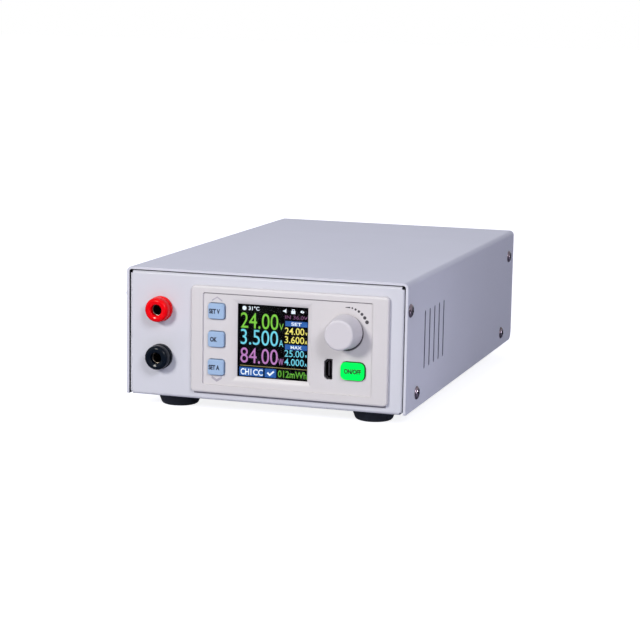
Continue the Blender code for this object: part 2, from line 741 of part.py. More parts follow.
def make_chassis():
    points, front_edge, tray_edge, rear_edge = chassis_profile()
    half = PANEL_WIDTH / 2 - PANEL_BEND
    shape = bmesh.new()
    left = chain(shape, points, -half)
    grown = bmesh.ops.extrude_edge_only(shape, edges=left)
    moved = [item for item in grown["geom"] if isinstance(item, bmesh.types.BMVert)]
    bmesh.ops.translate(shape, verts=moved, vec=(2 * half, 0, 0))
    middle = [(a[0] + b[0], a[1] + b[1]) for a, b in zip(points, points[1:])]

    def side_edge(index, sign):
        """The edge of one flat stretch on the named side of the strip."""
        target = Vector((sign * half, middle[index][0] / 2, middle[index][1] / 2))
        return min(shape.edges, key=lambda item: (
            (item.verts[0].co + item.verts[1].co) / 2 - target).length)

    bend = PANEL_BEND
    rear = CHASSIS_DEPTH - bend
    panel_run = PANEL_FLANGE - bend
    tray_run = TRAY_FLANGE - bend
    for sign in (-1, 1):
        x = sign * half
        fold_out(shape, side_edge(front_edge, sign), (0, 0, sign), (x, bend, 0),
                 (0, 1, 0), panel_run)
        fold_out(shape, side_edge(rear_edge, sign), (0, 0, -sign), (x, rear, 0),
                 (0, -1, 0), panel_run)
        fold_out(shape, side_edge(tray_edge, sign), (0, -sign, 0), (x, 0, bend),
                 (0, 0, 1), tray_run)
    chassis = folded_shell("chassis", shape, case, "panel paint")
    join(chassis, *standoffs())
    cut(chassis, *chassis_holes())
    return chassis


def standoffs():
    """Bosses pressed up out of the tray under the supply board's corners."""
    x = SUPPLY_WIDTH / 2 - STANDOFF_INSET
    y = SUPPLY_LENGTH / 2 - STANDOFF_INSET
    pieces = []
    for index, (sx, sy) in enumerate(((-1, -1), (1, -1), (1, 1), (-1, 1)), 1):
        pieces.append(cylinder(f"standoff_{index}", STANDOFF_RADIUS, SHEET - JOIN_OVERLAP,
                               SHEET + STANDOFF_HEIGHT, 12, None, case,
                               (sx * x, SUPPLY_Y + sy * y, 0)))
    return pieces


def chassis_holes():
    holes = []
    window = rectangle(SKIRT_WIDTH + 2 * SEAT_GAP, SKIRT_HEIGHT + 2 * SEAT_GAP)
    holes.append(block("module_window", window, "y", -CUT_OVERRUN, SHEET + CUT_OVERRUN,
                       parent=module))
    for index, height in enumerate(jack_heights(), 1):
        holes.append(cylinder(f"jack_hole_{index}", JACK_STEM_RADIUS + SEAT_GAP,
                              -SHEET - CUT_OVERRUN, CUT_OVERRUN, 20, None, case,
                              (JACK_X, 0, height), "front"))
    for index, (x, y) in enumerate(foot_places(), 1):
        holes.append(cylinder(f"foot_hole_{index}", FOOT_NECK_RADIUS + SEAT_GAP, -CUT_OVERRUN,
                              SHEET + CUT_OVERRUN, 12, None, case, (x, y, 0)))
    holes += screw_holes("chassis_screw_hole")
    inlet_hole = rectangle(INLET_WIDTH + 2 * SEAT_GAP, INLET_HEIGHT + 2 * SEAT_GAP)
    holes.append(block("inlet_hole", inlet_hole, "y", -SHEET - CUT_OVERRUN, CUT_OVERRUN,
                       parent=inlet))
    holes += grille_slots()
    corner = FAN_SCREW_SPACING / 2
    for index, (x, z) in enumerate(rectangle(2 * corner, 2 * corner), 1):
        holes.append(cylinder(f"fan_screw_hole_{index}", FAN_SCREW_HOLE_RADIUS, -CUT_OVERRUN,
                              SHEET + CUT_OVERRUN, 10, None, case,
                              (FAN_X + x, REAR_INNER, REAR_MIDDLE_Z + z), "back"))
    return holes


def grille_slots():
    """Rings of curved slots in the rear panel in front of the fan."""
    slots = []
    for ring in range(GRILLE_RINGS):
        radius = GRILLE_FIRST_RADIUS + ring * GRILLE_PITCH
        bridge = math.degrees(GRILLE_BRIDGE / radius)
        span = 360 / GRILLE_ARCS - bridge
        steps = 4 + ring
        for index in range(GRILLE_ARCS):
            start = 360 / GRILLE_ARCS * index + bridge / 2
            outer = arc((0, 0), radius + GRILLE_SLOT / 2, start, start + span, steps)
            inner = arc((0, 0), radius - GRILLE_SLOT / 2, start + span, start, steps)
            slots.append(block(f"grille_slot_{ring + 1}_{index + 1}", outer + inner, "y",
                               -SHEET - CUT_OVERRUN, CUT_OVERRUN, parent=case,
                               location=(FAN_X, CHASSIS_DEPTH, REAR_MIDDLE_Z)))
    return slots


def screw_places():
    """(y, z) of the cover screws on each side."""
    return [
        (SCREW_UPPER_INSET, COVER_HEIGHT - SCREW_UPPER_DROP),
        (SCREW_LOWER_INSET, SCREW_LOWER_HEIGHT),
        (CHASSIS_DEPTH - SCREW_UPPER_INSET, COVER_HEIGHT - SCREW_UPPER_DROP),
        (CHASSIS_DEPTH - SCREW_LOWER_INSET, SCREW_LOWER_HEIGHT),
    ]


def screw_holes(name):
    reach = COVER_WIDTH / 2 + CUT_OVERRUN
    return [cylinder(f"{name}_{index}", SCREW_HOLE_RADIUS, -reach, reach, 12, None, case,
                     (0, y, z), "right")
            for index, (y, z) in enumerate(screw_places(), 1)]


def make_cover():
    half = COVER_WIDTH / 2
    bend_x = half - COVER_BEND
    bend_z = COVER_HEIGHT - COVER_BEND
    section = [(half, 0), *arc((bend_x, bend_z), COVER_BEND, 0, 90, 4),
               *arc((-bend_x, bend_z), COVER_BEND, 90, 180, 4), (-half, 0)]
    shape = bmesh.new()
    verts = [shape.verts.new((x, 0, z)) for x, z in section]
    edges = [shape.edges.new(pair) for pair in zip(verts, verts[1:])]
    grown = bmesh.ops.extrude_edge_only(shape, edges=edges)
    moved = [item for item in grown["geom"] if isinstance(item, bmesh.types.BMVert)]
    bmesh.ops.translate(shape, verts=moved, vec=(0, COVER_DEPTH, 0))
    cover = folded_shell("top_cover", shape, case, "grey paint")
    cut(cover, corner_cutter("cover_front_corner", 0, 1, COVER_FRONT_CORNER))
    cut(cover, corner_cutter("cover_rear_corner", COVER_DEPTH, -1, COVER_REAR_CORNER))
    reach = half + CUT_OVERRUN
    slot = rounded_rectangle(SLOT_WIDTH, SLOT_LENGTH, SLOT_WIDTH / 2, steps=2)
    for index in range(SLOT_COUNT):
        place_y = SLOT_FIRST + index * SLOT_PITCH
        cut(cover, block(f"vent_slot_{index + 1}", dedupe(slot), "x", -reach, reach, parent=case,
                         location=(0, place_y, SLOT_MIDDLE_HEIGHT)))
    cut(cover, *screw_holes("cover_screw_hole"))
    return cover


def corner_cutter(name, y, inward, radius):
    """Waste outside a rounded lower corner of both cover sides."""
    reach = COVER_WIDTH / 2 + CUT_OVERRUN
    start = 180 if inward > 0 else 360
    curve = arc((y + inward * radius, radius), radius, start, 270, 3)
    outside = y - inward * CUT_OVERRUN
    outline = [*curve, (y + inward * radius, -CUT_OVERRUN), (outside, -CUT_OVERRUN),
               (outside, radius)]
    return block(name, outline, "x", -reach, reach, parent=case)


def foot_places():
    x = COVER_WIDTH / 2 - FOOT_SIDE
    return [(-x, FOOT_INSET), (x, FOOT_INSET),
            (-x, CHASSIS_DEPTH - FOOT_INSET), (x, CHASSIS_DEPTH - FOOT_INSET)]


def make_feet():
    """Tapered feet whose moulded studs snap through the tray."""
    head_low = SHEET + SEAT_GAP
    head_high = head_low + FOOT_HEAD_HEIGHT
    rim = arc((FOOT_BOTTOM_RADIUS - FOOT_EDGE, FOOT_EDGE - FOOT_HEIGHT), FOOT_EDGE, 0, -90, 2)
    profile = [(0, head_high), (FOOT_NECK_RADIUS, head_high), (FOOT_HEAD_RADIUS, head_low),
               (FOOT_NECK_RADIUS, head_low), (FOOT_NECK_RADIUS, -SEAT_GAP),
               (FOOT_TOP_RADIUS, -SEAT_GAP), *rim, (0, -FOOT_HEIGHT)]
    names = ("foot_front_left", "foot_front_right", "foot_rear_left", "foot_rear_right")
    for name, (x, y) in zip(names, foot_places()):
        turned(name, profile, 20, "black rubber", case, (x, y, 0))


def make_cover_screws():
    """Pan-head screws with a cross recess, driven from both sides."""
    radius = SCREW_HEAD_RADIUS
    height = SCREW_HEAD_HEIGHT
    flat = radius - height
    crown = [(flat + u, v) for u, v in arc((0, 0), height, 90, 0, 3)]
    profile = [(0, height), *crown, (SCREW_SHANK_RADIUS, 0),
               (SCREW_SHANK_RADIUS, -SCREW_SHANK_LENGTH), (0, -SCREW_SHANK_LENGTH)]
    pattern = turned("screw_pattern", profile, 12)
    half = SCREW_CROSS_LENGTH / 2
    thin = SCREW_CROSS_WIDTH / 2
    cross = [(half, -thin), (half, thin), (thin, thin), (thin, half), (-thin, half),
             (-thin, thin), (-half, thin), (-half, -thin), (-thin, -thin), (-thin, -half),
             (thin, -half), (thin, -thin)]
    cut(pattern, block("screw_cross", cross, "z", height - SCREW_CROSS_DEPTH,
                       height + CUT_OVERRUN))
    mesh = finished_mesh(pattern)
    bpy.data.objects.remove(bpy.data.objects["screw_cross"])
    bpy.data.objects.remove(pattern)
    reach = COVER_WIDTH / 2 + FACE_GAP
    spots = ("front_upper", "front_lower", "rear_upper", "rear_lower")
    for side, sign in (("right", 1), ("left", -1)):
        for spot, (y, z) in zip(spots, screw_places()):
            screw = add_piece(f"cover_screw_{side}_{spot}", mesh.copy(), "steel")
            place(screw, case, (sign * reach, y, z), side)
    bpy.data.meshes.remove(mesh)


# Output sockets

def jack_heights():
    return (JACK_Z + JACK_PITCH / 2, JACK_Z - JACK_PITCH / 2)


def jack_shell_profile():
    """Shroud, shoulder and threaded stem; the bore behind its mouth takes the sleeve."""
    bore = SLEEVE_BORE_RADIUS + SLEEVE_WALL + SEAT_GAP
    front = JACK_REACH
    step = front - SLEEVE_SET_BACK + SEAT_GAP
    groove = JACK_GROOVE_PLACE
    half_groove = JACK_GROOVE_WIDTH / 2
    inner = JACK_FRONT_RADIUS - JACK_GROOVE_DEPTH
    return [
        (JACK_MOUTH_RADIUS + JACK_COUNTERSINK, front),
        *edge_rounding(JACK_FRONT_RADIUS, front, JACK_EDGE, 3, "top"),
        (JACK_FRONT_RADIUS, groove + half_groove),
        (inner, groove + half_groove),
        (inner, groove - half_groove),
        (JACK_BASE_RADIUS, groove - half_groove),
        (JACK_BASE_RADIUS, FACE_GAP),
        (JACK_STEM_RADIUS, FACE_GAP),
        (JACK_STEM_RADIUS, -JACK_STEM_LENGTH),
        (bore, -JACK_STEM_LENGTH),
        (bore, step),
        (JACK_MOUTH_RADIUS, step),
        (JACK_MOUTH_RADIUS, front - JACK_COUNTERSINK),
    ]


def jack_sleeve_profile():
    """Contact sleeve, closed at the back and drawn out into a solder tail."""
    bore = SLEEVE_BORE_RADIUS
    outer = bore + SLEEVE_WALL
    front = JACK_REACH - SLEEVE_SET_BACK
    floor = front - SLEEVE_BORE_DEPTH
    back = sleeve_back()
    return [(0, floor), (bore, floor), (bore, front), (outer, front), (outer, back),
            (SOLDER_TAIL_RADIUS, back), (SOLDER_TAIL_RADIUS, back - SOLDER_TAIL_LENGTH),
            (0, back - SOLDER_TAIL_LENGTH)]


def sleeve_back():
    return JACK_REACH - SLEEVE_SET_BACK - SLEEVE_BORE_DEPTH - SLEEVE_BACK_WALL


def make_jacks():
    finishes = ("red plastic", "black plastic")
    for polarity, finish, height in zip(("positive", "negative"), finishes, jack_heights()):
        spot = (JACK_X, 0, height)
        turned(f"{polarity}_jack_shell", jack_shell_profile(), 24, finish, case, spot, "front",
               ring=True)
        turned(f"{polarity}_jack_sleeve", jack_sleeve_profile(), 16, "brass", case, spot,
               "front")
        hexagon = circle(JACK_NUT_ACROSS / 2 / math.cos(math.radians(30)), 6)
        hole = circle(JACK_STEM_RADIUS + SEAT_GAP, 20)
        start = SHEET + SEAT_GAP
        plate(f"{polarity}_jack_nut", [hexagon, hole], "y", start, start + JACK_NUT_THICKNESS,
              "nickel", case, spot)


# Control module

def key_places():
    return [(KEY_X, SCREEN_RAISE + step * KEY_PITCH) for step in (1, 0, -1)]


def post_places():
    return [(x, z) for x in (POST_INNER_X, POST_OUTER_X) for z in (-POST_Z, POST_Z)]


def make_bezel():
    """Moulded front: flange, sunk field, window surround, openings, skirt and posts."""
    flange = rounded_rectangle(BEZEL_WIDTH, BEZEL_HEIGHT, BEZEL_CORNER)
    bezel = block("module_bezel", flange, "y", -BEZEL_PROUD, -FACE_GAP, "cream plastic",
                  module, edge=BEZEL_EDGE)
    join(bezel, *bezel_walls(), *bezel_posts())
    cut(bezel, *bezel_openings())
    return bezel


def bezel_walls():
    skirt = rectangle(SKIRT_WIDTH, SKIRT_HEIGHT)
    inside = rectangle(SKIRT_WIDTH - 2 * SKIRT_WALL, SKIRT_HEIGHT - 2 * SKIRT_WALL)
    start = JOIN_OVERLAP - BEZEL_PROUD + FIELD_DEPTH
    walls = [plate("bezel_skirt", [skirt, inside], "y", start, SKIRT_DEPTH, parent=module),
             block("bezel_face", rectangle(SKIRT_WIDTH - SKIRT_WALL, SKIRT_HEIGHT - SKIRT_WALL),
                   "y", start, FACE_BACK, parent=module)]
    # wedge-shaped tabs on the long walls catch behind the front panel
    for side, sign in (("upper", 1), ("lower", -1)):
        wall = sign * (SKIRT_HEIGHT / 2 - JOIN_OVERLAP)
        crest = sign * (SKIRT_HEIGHT / 2 + SNAP_HEIGHT)
        catch = SHEET + SEAT_GAP
        wedge = [(catch, wall), (catch, crest), (catch + SNAP_LENGTH, wall)]
        walls.append(block(f"bezel_snap_{side}", wedge, "x", -SNAP_WIDTH / 2, SNAP_WIDTH / 2,
                           parent=module))
    return walls


def bezel_posts():
    """Stepped posts: the control board sits on the shoulders, the converter on the pins."""
    start = FACE_BACK - JOIN_OVERLAP
    shoulder = CONTROL_BOARD_DEPTH - SEAT_GAP
    end = CONVERTER_DEPTH - SEAT_GAP
    profile = [(0, end), (POST_PIN_RADIUS, end), (POST_PIN_RADIUS, shoulder),
               (POST_RADIUS, shoulder), (POST_RADIUS, start), (0, start)]
    return [turned(f"bezel_post_{index}", profile, 10, None, module, (x, 0, z), "back")
            for index, (x, z) in enumerate(post_places(), 1)]


def bezel_openings():
    through = (FIELD_FACE - CUT_OVERRUN, FACE_BACK + CUT_OVERRUN)
    field_x = (FIELD_LEFT - FIELD_RIGHT) / 2
    field_z = (FIELD_BELOW - FIELD_ABOVE) / 2
    field_width = BEZEL_WIDTH - FIELD_LEFT - FIELD_RIGHT
    field_height = BEZEL_HEIGHT - FIELD_BELOW - FIELD_ABOVE
    field = rounded_rectangle(field_width, field_height, FIELD_CORNER, (field_x, field_z))
    openings = [block("bezel_field", field, "y", -BEZEL_PROUD - CUT_OVERRUN, FIELD_FACE,
                      parent=module)]
    screen = rectangle(SCREEN_SIZE, SCREEN_SIZE, (SCREEN_X, SCREEN_RAISE))
    openings.append(block("bezel_window", screen, "y", *through, parent=module))
    openings.append(window_chamfer())
    for index, spot in enumerate(key_places(), 1):
        hole = rounded_rectangle(KEY_WIDTH + 2 * KEY_CLEARANCE, KEY_HEIGHT + 2 * KEY_CLEARANCE,
                                 KEY_CORNER + KEY_CLEARANCE, spot, 2)
        openings.append(block(f"bezel_key_hole_{index}", hole, "y", *through, parent=module))
    hole = rounded_rectangle(BUTTON_WIDTH + 2 * KEY_CLEARANCE, BUTTON_HEIGHT + 2 * KEY_CLEARANCE,
                             BUTTON_CORNER + KEY_CLEARANCE, (BUTTON_X, -BUTTON_DROP))
    openings.append(block("bezel_button_hole", hole, "y", *through, parent=module))
    hole = chamfered_rectangle(USB_SLOT_WIDTH, USB_SLOT_HEIGHT, USB_CHAMFER, -1,
                               (USB_X, -USB_DROP))
    openings.append(block("bezel_usb_hole", hole, "y", *through, parent=module))
    hole = circle(ENCODER_BUSHING_RADIUS + ENCODER_HOLE_CLEARANCE, 20, (KNOB_X, KNOB_RAISE))
    openings.append(block("bezel_knob_hole", hole, "y", *through, parent=module))
    return openings


def window_chamfer():
    """A four-sided funnel from the sunk field down to the screen's edge."""
    shape = bmesh.new()
    slope = WINDOW_CHAMFER / (FACE_WALL - WINDOW_STEP)
    wide = SCREEN_SIZE / 2 + WINDOW_CHAMFER + CUT_OVERRUN * slope
    start = FIELD_FACE - CUT_OVERRUN
    end = FACE_BACK - WINDOW_STEP
    bmesh.ops.create_cone(shape, cap_ends=True, segments=4, depth=end - start,
                          radius1=wide * math.sqrt(2), radius2=SCREEN_SIZE / 2 * math.sqrt(2),
                          matrix=Matrix.Rotation(math.pi / 4, 4, "Z"))
    lay_along(shape, "y")
    mesh = bpy.data.meshes.new("bezel_window_chamfer")
    shape.to_mesh(mesh)
    shape.free()
    funnel = add_piece("bezel_window_chamfer", mesh, None)
    return place(funnel, module, (SCREEN_X, (start + end) / 2, SCREEN_RAISE))


def make_display():
    front = FACE_BACK + SEAT_GAP
    glass = SCREEN_SIZE + 2 * GLASS_MARGIN
    spot = (SCREEN_X, SCREEN_RAISE)
    block("display_glass", rectangle(glass, glass, spot), "y", front, front + GLASS_THICKNESS,
          "screen glass", module)
    panel = rectangle(SCREEN_SIZE + 2 * DISPLAY_MARGIN_X, SCREEN_SIZE + 2 * DISPLAY_MARGIN_Z,
                      spot)
    back = front + GLASS_THICKNESS + SEAT_GAP
    block("display_panel", panel, "y", back, back + DISPLAY_THICKNESS, "black plastic", module)


def make_key(name, width, height, corner, spot, finish):
    """A cap with a retaining lip behind the bezel and a stem over its switch."""
    front = FIELD_FACE - KEY_PROUD
    lip = FACE_BACK + SEAT_GAP
    outline = rounded_rectangle(width, height, corner, steps=2)
    location = (spot[0], 0, spot[1])
    key = block(name, outline, "y", front, lip + JOIN_OVERLAP, finish, module, location,
                edge=KEY_EDGE, edge_steps=1)
    rim = rectangle(width + 2 * KEY_LIP, height + 2 * KEY_LIP)
    join(key, block(name + "_lip", rim, "y", lip, lip + KEY_LIP_THICKNESS, parent=module,
                    location=location))
    stem_end = SWITCH_FRONT - KEY_TRAVEL - FACE_GAP
    join(key, cylinder(name + "_stem", KEY_STEM_RADIUS, lip + KEY_LIP_THICKNESS - JOIN_OVERLAP,
                       stem_end, 8, None, module, location, "back"))


def make_keys():
    for name, spot in zip(("voltage_key", "ok_key", "current_key"), key_places()):
        make_key(name, KEY_WIDTH, KEY_HEIGHT, KEY_CORNER, spot, "blue plastic")
    make_key("output_button", BUTTON_WIDTH, BUTTON_HEIGHT, BUTTON_CORNER,
             (BUTTON_X, -BUTTON_DROP), "lit green")


def make_usb_socket():
    """A drawn shell, open at the front, with the contact tongue inside."""
    outer_width = USB_SLOT_WIDTH - 2 * SEAT_GAP
    outer_height = USB_SLOT_HEIGHT - 2 * SEAT_GAP
    inner_width = outer_width - 2 * USB_SHELL_WALL
    inner_height = outer_height - 2 * USB_SHELL_WALL
    front = FIELD_FACE + USB_SET_BACK
    back = CONTROL_BOARD_DEPTH - SEAT_GAP
    spot = (USB_X, 0, -USB_DROP)
    outer = chamfered_rectangle(outer_width, outer_height, USB_CHAMFER, -1)
    inner = chamfered_rectangle(inner_width, inner_height, USB_CHAMFER, -1)
    socket = block("usb_socket", outer, "y", front, back, "nickel", module, spot)
    cut(socket, block("usb_hollow", inner, "y", front - CUT_OVERRUN, back - BOARD_THICKNESS,
                      parent=module, location=spot))
    tongue = rectangle(USB_TONGUE, inner_height - 2 * USB_TONGUE)
    join(socket, block("usb_tongue", tongue, "y", front + USB_TONGUE,
                       back - BOARD_THICKNESS + JOIN_OVERLAP, parent=module, location=spot))


def make_encoder():
    """Body on the control board, push plunger, shaft and the knob over it."""
    spot = (KNOB_X, 0, KNOB_RAISE)
    front = ENCODER_BACK - ENCODER_DEPTH
    outline = rectangle(ENCODER_SIZE, ENCODER_SIZE)
    body = block("encoder_body", outline, "y", front, ENCODER_BACK, "nickel", module, spot)
    nose = FIELD_FACE + SEAT_GAP
    join(body, cylinder("encoder_bushing", ENCODER_BUSHING_RADIUS, nose, front + JOIN_OVERLAP,
                        16, None, module, spot, "back"))
    cut(body, cylinder("encoder_bore", ENCODER_BORE_RADIUS, nose - CUT_OVERRUN,
                       ENCODER_BACK + CUT_OVERRUN, 16, None, module, spot, "back"))
    shaft_front = KNOB_FRONT + KNOB_FACE_WALL + SEAT_GAP
    plunger = ENCODER_BACK - PRESS_TRAVEL - PLUNGER_THICKNESS
    shaft_back = plunger - SEAT_GAP
    cylinder("encoder_shaft", SHAFT_RADIUS, shaft_front, shaft_back, 16, "aluminium", module,
             spot, "back")
    cylinder("encoder_plunger", SHAFT_RADIUS, plunger, plunger + PLUNGER_THICKNESS, 16,
             "black plastic", module, spot, "back")
    make_knob(spot)


def make_knob(spot):
    """Slightly tapered cap with a rounded front edge, bored for the shaft."""
    bore = SHAFT_RADIUS + SEAT_GAP
    front = -KNOB_FRONT
    base = -KNOB_BASE
    ceiling = front - KNOB_FACE_WALL
    profile = [(0, front), *edge_rounding(KNOB_FRONT_RADIUS, front, KNOB_EDGE, 4, "top"),
               (KNOB_BASE_RADIUS, base), (KNOB_RECESS_RADIUS, base),
               (KNOB_RECESS_RADIUS, base + KNOB_RECESS_DEPTH), (bore, base + KNOB_RECESS_DEPTH),
               (bore, ceiling), (0, ceiling)]
    turned("knob", profile, 32, "cream plastic", module, spot, "front")


def make_control_board():
    holes = [circle(POST_PIN_RADIUS + SEAT_GAP, 10, spot) for spot in post_places()]
    back = CONTROL_BOARD_DEPTH + BOARD_THICKNESS
    board = plate("control_board", [rectangle(BOARD_WIDTH, BOARD_HEIGHT), *holes], "y",
                  CONTROL_BOARD_DEPTH, back, "green board", module)
    switch_front = CONTROL_BOARD_DEPTH - SWITCH_HEIGHT
    spots = [*key_places(), (BUTTON_X, -BUTTON_DROP)]
    for index, (x, z) in enumerate(spots, 1):
        join(board, block(f"switch_body_{index}", rectangle(SWITCH_SIZE, SWITCH_SIZE, (x, z)),
                          "y", switch_front, CONTROL_BOARD_DEPTH + JOIN_OVERLAP, parent=module))
        join(board, cylinder(f"switch_plunger_{index}", SWITCH_PLUNGER_RADIUS, SWITCH_FRONT,
                             switch_front + JOIN_OVERLAP, 8, None, module, (x, 0, z), "back"))


def on_board(shares, width, length):
    return (shares[0] * width / 2, shares[1] * length / 2)


def capacitor_profile(radius, height):
    return [(0, height), *edge_rounding(radius, height, CAP_EDGE, 2, "top"), (radius, 0), (0, 0)]


def ring_profile(radius, hole, height, edge):
    """A wound ring's rounded section."""
    return [(hole, height - edge), (hole + edge, height), (radius - edge, height),
            (radius, height - edge), (radius, edge), (radius - edge, 0), (hole + edge, 0),
            (hole, edge)]


def make_terminal(name, poles, axis, start, end, spot, finish, parent):
    """A screw terminal block: wire entries on one face."""
    width = poles * TERMINAL_POLE
    outline = rectangle(width, TERMINAL_DEPTH)
    block_piece = block(name, outline, axis, start, end, finish, parent, spot)
    for index in range(poles):
        x = (index - (poles - 1) / 2) * TERMINAL_POLE
        entry = rectangle(TERMINAL_ENTRY, TERMINAL_ENTRY, (x, 0))
        cut(block_piece, block(f"{name}_entry_{index + 1}", entry, axis,
                               end - TERMINAL_ENTRY_DEPTH, end + CUT_OVERRUN, parent=parent,
                               location=spot))


def converter_terminal_place():
    """(x, z) of the terminal block, beside the heatsink."""
    sink_x = on_board(CONVERTER_SINK_SHARES, BOARD_WIDTH, BOARD_HEIGHT)[0]
    half = CONVERTER_POLES * TERMINAL_POLE / 2
    x = sink_x + CONVERTER_SINK_WIDTH / 2 + CONVERTER_TERMINAL_GAP + half
    return x, CONVERTER_TERMINAL_HEIGHT_SHARE * BOARD_HEIGHT / 2


def make_converter():
    """The converter's board behind the module, with its parts facing back."""
    back = CONVERTER_DEPTH + BOARD_THICKNESS
    block("converter_board", rectangle(BOARD_WIDTH, BOARD_HEIGHT), "y", CONVERTER_DEPTH, back,
          "green board", module)
    seat = back + SEAT_GAP
    x, z = on_board(CONVERTER_SINK_SHARES, BOARD_WIDTH, BOARD_HEIGHT)
    section = comb(CONVERTER_SINK_WIDTH, CONVERTER_SINK_BASE, CONVERTER_SINK_FIN,
                   CONVERTER_SINK_FINS)
    section = [(x + u, seat + v) for u, v in section]
    block("converter_heatsink", section, "z", z - CONVERTER_SINK_HEIGHT / 2,
          z + CONVERTER_SINK_HEIGHT / 2, "aluminium", module)
    x, z = on_board(INDUCTOR_SHARES, BOARD_WIDTH, BOARD_HEIGHT)
    ring = ring_profile(INDUCTOR_RADIUS, INDUCTOR_HOLE_RADIUS, INDUCTOR_HEIGHT, INDUCTOR_EDGE)
    turned("converter_inductor", ring, 20, "copper winding", module, (x, seat, z), "back",
           ring=True)
    for index, shares in enumerate(CONVERTER_CAP_SHARES, 1):
        x, z = on_board(shares, BOARD_WIDTH, BOARD_HEIGHT)
        turned(f"converter_capacitor_{index}",
               capacitor_profile(CONVERTER_CAP_RADIUS, CONVERTER_CAP_HEIGHT), 16,
               "black plastic", module, (x, seat, z), "back")
    x, z = converter_terminal_place()
    make_terminal("converter_terminal_block", CONVERTER_POLES, "y", seat,
                  seat + TERMINAL_HEIGHT, (x, 0, z), "green terminal", module)


# Mains supply board

def make_supply():
    outline = rectangle(SUPPLY_WIDTH, SUPPLY_LENGTH, (0, SUPPLY_Y))
    block("supply_board", outline, "z", SUPPLY_BOTTOM, SUPPLY_TOP, "green board", case)
    seat = SUPPLY_TOP + SEAT_GAP

    def spot(shares):
        x, y = on_board(shares, SUPPLY_WIDTH, SUPPLY_LENGTH)
        return (x, SUPPLY_Y + y, seat)

    make_transformer(spot(TRANSFORMER_SHARES))
    turned("supply_bulk_capacitor", capacitor_profile(BULK_CAP_RADIUS, BULK_CAP_HEIGHT), 20,
           "black plastic", case, spot(BULK_CAP_SHARES))
    x, y, z = spot(CHOKE_SHARES)
    ring = ring_profile(CHOKE_RADIUS, CHOKE_HOLE_RADIUS, CHOKE_WIDTH, CHOKE_EDGE)
    turned("supply_choke", ring, 18, "copper winding", case,
           (x, y - CHOKE_WIDTH / 2, z + CHOKE_RADIUS), "back", ring=True)
    make_supply_sink(spot(SUPPLY_SINK_SHARES))
    for index, shares in enumerate(SUPPLY_CAP_SHARES, 1):
        turned(f"supply_output_capacitor_{index}",
               capacitor_profile(SUPPLY_CAP_RADIUS, SUPPLY_CAP_HEIGHT), 14, "black plastic",
               case, spot(shares))
    for name, shares in (("supply_output_terminal", OUTPUT_TERMINAL_SHARES),
                         ("supply_mains_terminal", MAINS_TERMINAL_SHARES)):
        make_terminal(name, SUPPLY_POLES, "z", 0, TERMINAL_HEIGHT, spot(shares),
                      "green terminal", case)


def make_transformer(spot):
    """Ferrite core through a taped winding that bulges out of it at both ends."""
    core = rectangle(TRANSFORMER_CORE, TRANSFORMER_LENGTH)
    frame_width = TRANSFORMER_WIDTH / 2
    outline = rectangle(TRANSFORMER_WIDTH, TRANSFORMER_CORE)
    body = block("supply_transformer", outline, "z", 0, TRANSFORMER_HEIGHT, "ferrite", case,
                 spot)
    low = TRANSFORMER_WINDING_SET_IN
    high = TRANSFORMER_HEIGHT - TRANSFORMER_WINDING_SET_IN
    winding = rounded_rectangle(frame_width + TRANSFORMER_CORE / 2, TRANSFORMER_LENGTH,
                                TRANSFORMER_WINDING_SET_IN, steps=2)
    join(body, block("transformer_winding", winding, "z", low, high, parent=case,
                     location=spot))
    join(body, block("transformer_pins", core, "z", 0, low + JOIN_OVERLAP, parent=case,
                     location=spot))


def make_supply_sink(spot):
    """An upright web with short fins on its outer face."""
    section = comb(SUPPLY_SINK_LENGTH, SUPPLY_SINK_WEB, SUPPLY_SINK_FIN, SUPPLY_SINK_FINS)
    outline = [(v, u) for u, v in section]
    block("supply_heatsink", outline, "z", 0, SUPPLY_SINK_HEIGHT, "aluminium", case, spot)


# Mains inlet, its switch and its fuse drawer

def make_inlet():
    """Snap-in housing: plug recess, fuse drawer bay and switch bay side by side."""
    outline = rounded_rectangle(INLET_WIDTH + 2 * INLET_FLANGE_MARGIN_X,
                                INLET_HEIGHT + 2 * INLET_FLANGE_MARGIN_Z, INLET_CORNER)
    housing = block("inlet_housing", outline, "y", FACE_GAP, INLET_FACE, "black plastic",
                    inlet, edge=INLET_EDGE, edge_at="end", edge_steps=1)
    join(housing, block("inlet_body", rectangle(INLET_WIDTH, INLET_HEIGHT), "y",
                        -INLET_BODY_DEPTH, FACE_GAP + JOIN_OVERLAP, parent=inlet))
    recess = chamfered_rectangle(INLET_RECESS_WIDTH, INLET_RECESS_HEIGHT, INLET_RECESS_CHAMFER,
                                 1, (RECESS_X, 0))
    mouth = INLET_FACE + CUT_OVERRUN
    cut(housing, block("inlet_recess", recess, "y", INLET_FACE - INLET_RECESS_DEPTH, mouth,
                       parent=inlet))
    bay = rectangle(DRAWER_CAVITY_WIDTH, DRAWER_HEIGHT + 2 * SEAT_GAP, (DRAWER_X, 0))
    drawer_back = INLET_FACE + DRAWER_PROUD - DRAWER_DEPTH - SEAT_GAP
    cut(housing, block("drawer_bay", bay, "y", drawer_back, mouth, parent=inlet))
    bay = rectangle(ROCKER_CAVITY_WIDTH, ROCKER_CAVITY_HEIGHT, (ROCKER_X, 0))
    bay_floor = INLET_FACE - ROCKER_AXIS_DEPTH - keel_radius() - SEAT_GAP
    cut(housing, block("rocker_bay", bay, "y", bay_floor, mouth, parent=inlet))
    for name, spot in pin_places():
        slit = rectangle(PIN_WIDTH + 2 * SEAT_GAP, PIN_THICKNESS + 2 * SEAT_GAP, spot)
        cut(housing, block(name + "_slit", slit, "y", -INLET_BODY_DEPTH - CUT_OVERRUN,
                           INLET_FACE - INLET_RECESS_DEPTH + CUT_OVERRUN, parent=inlet))


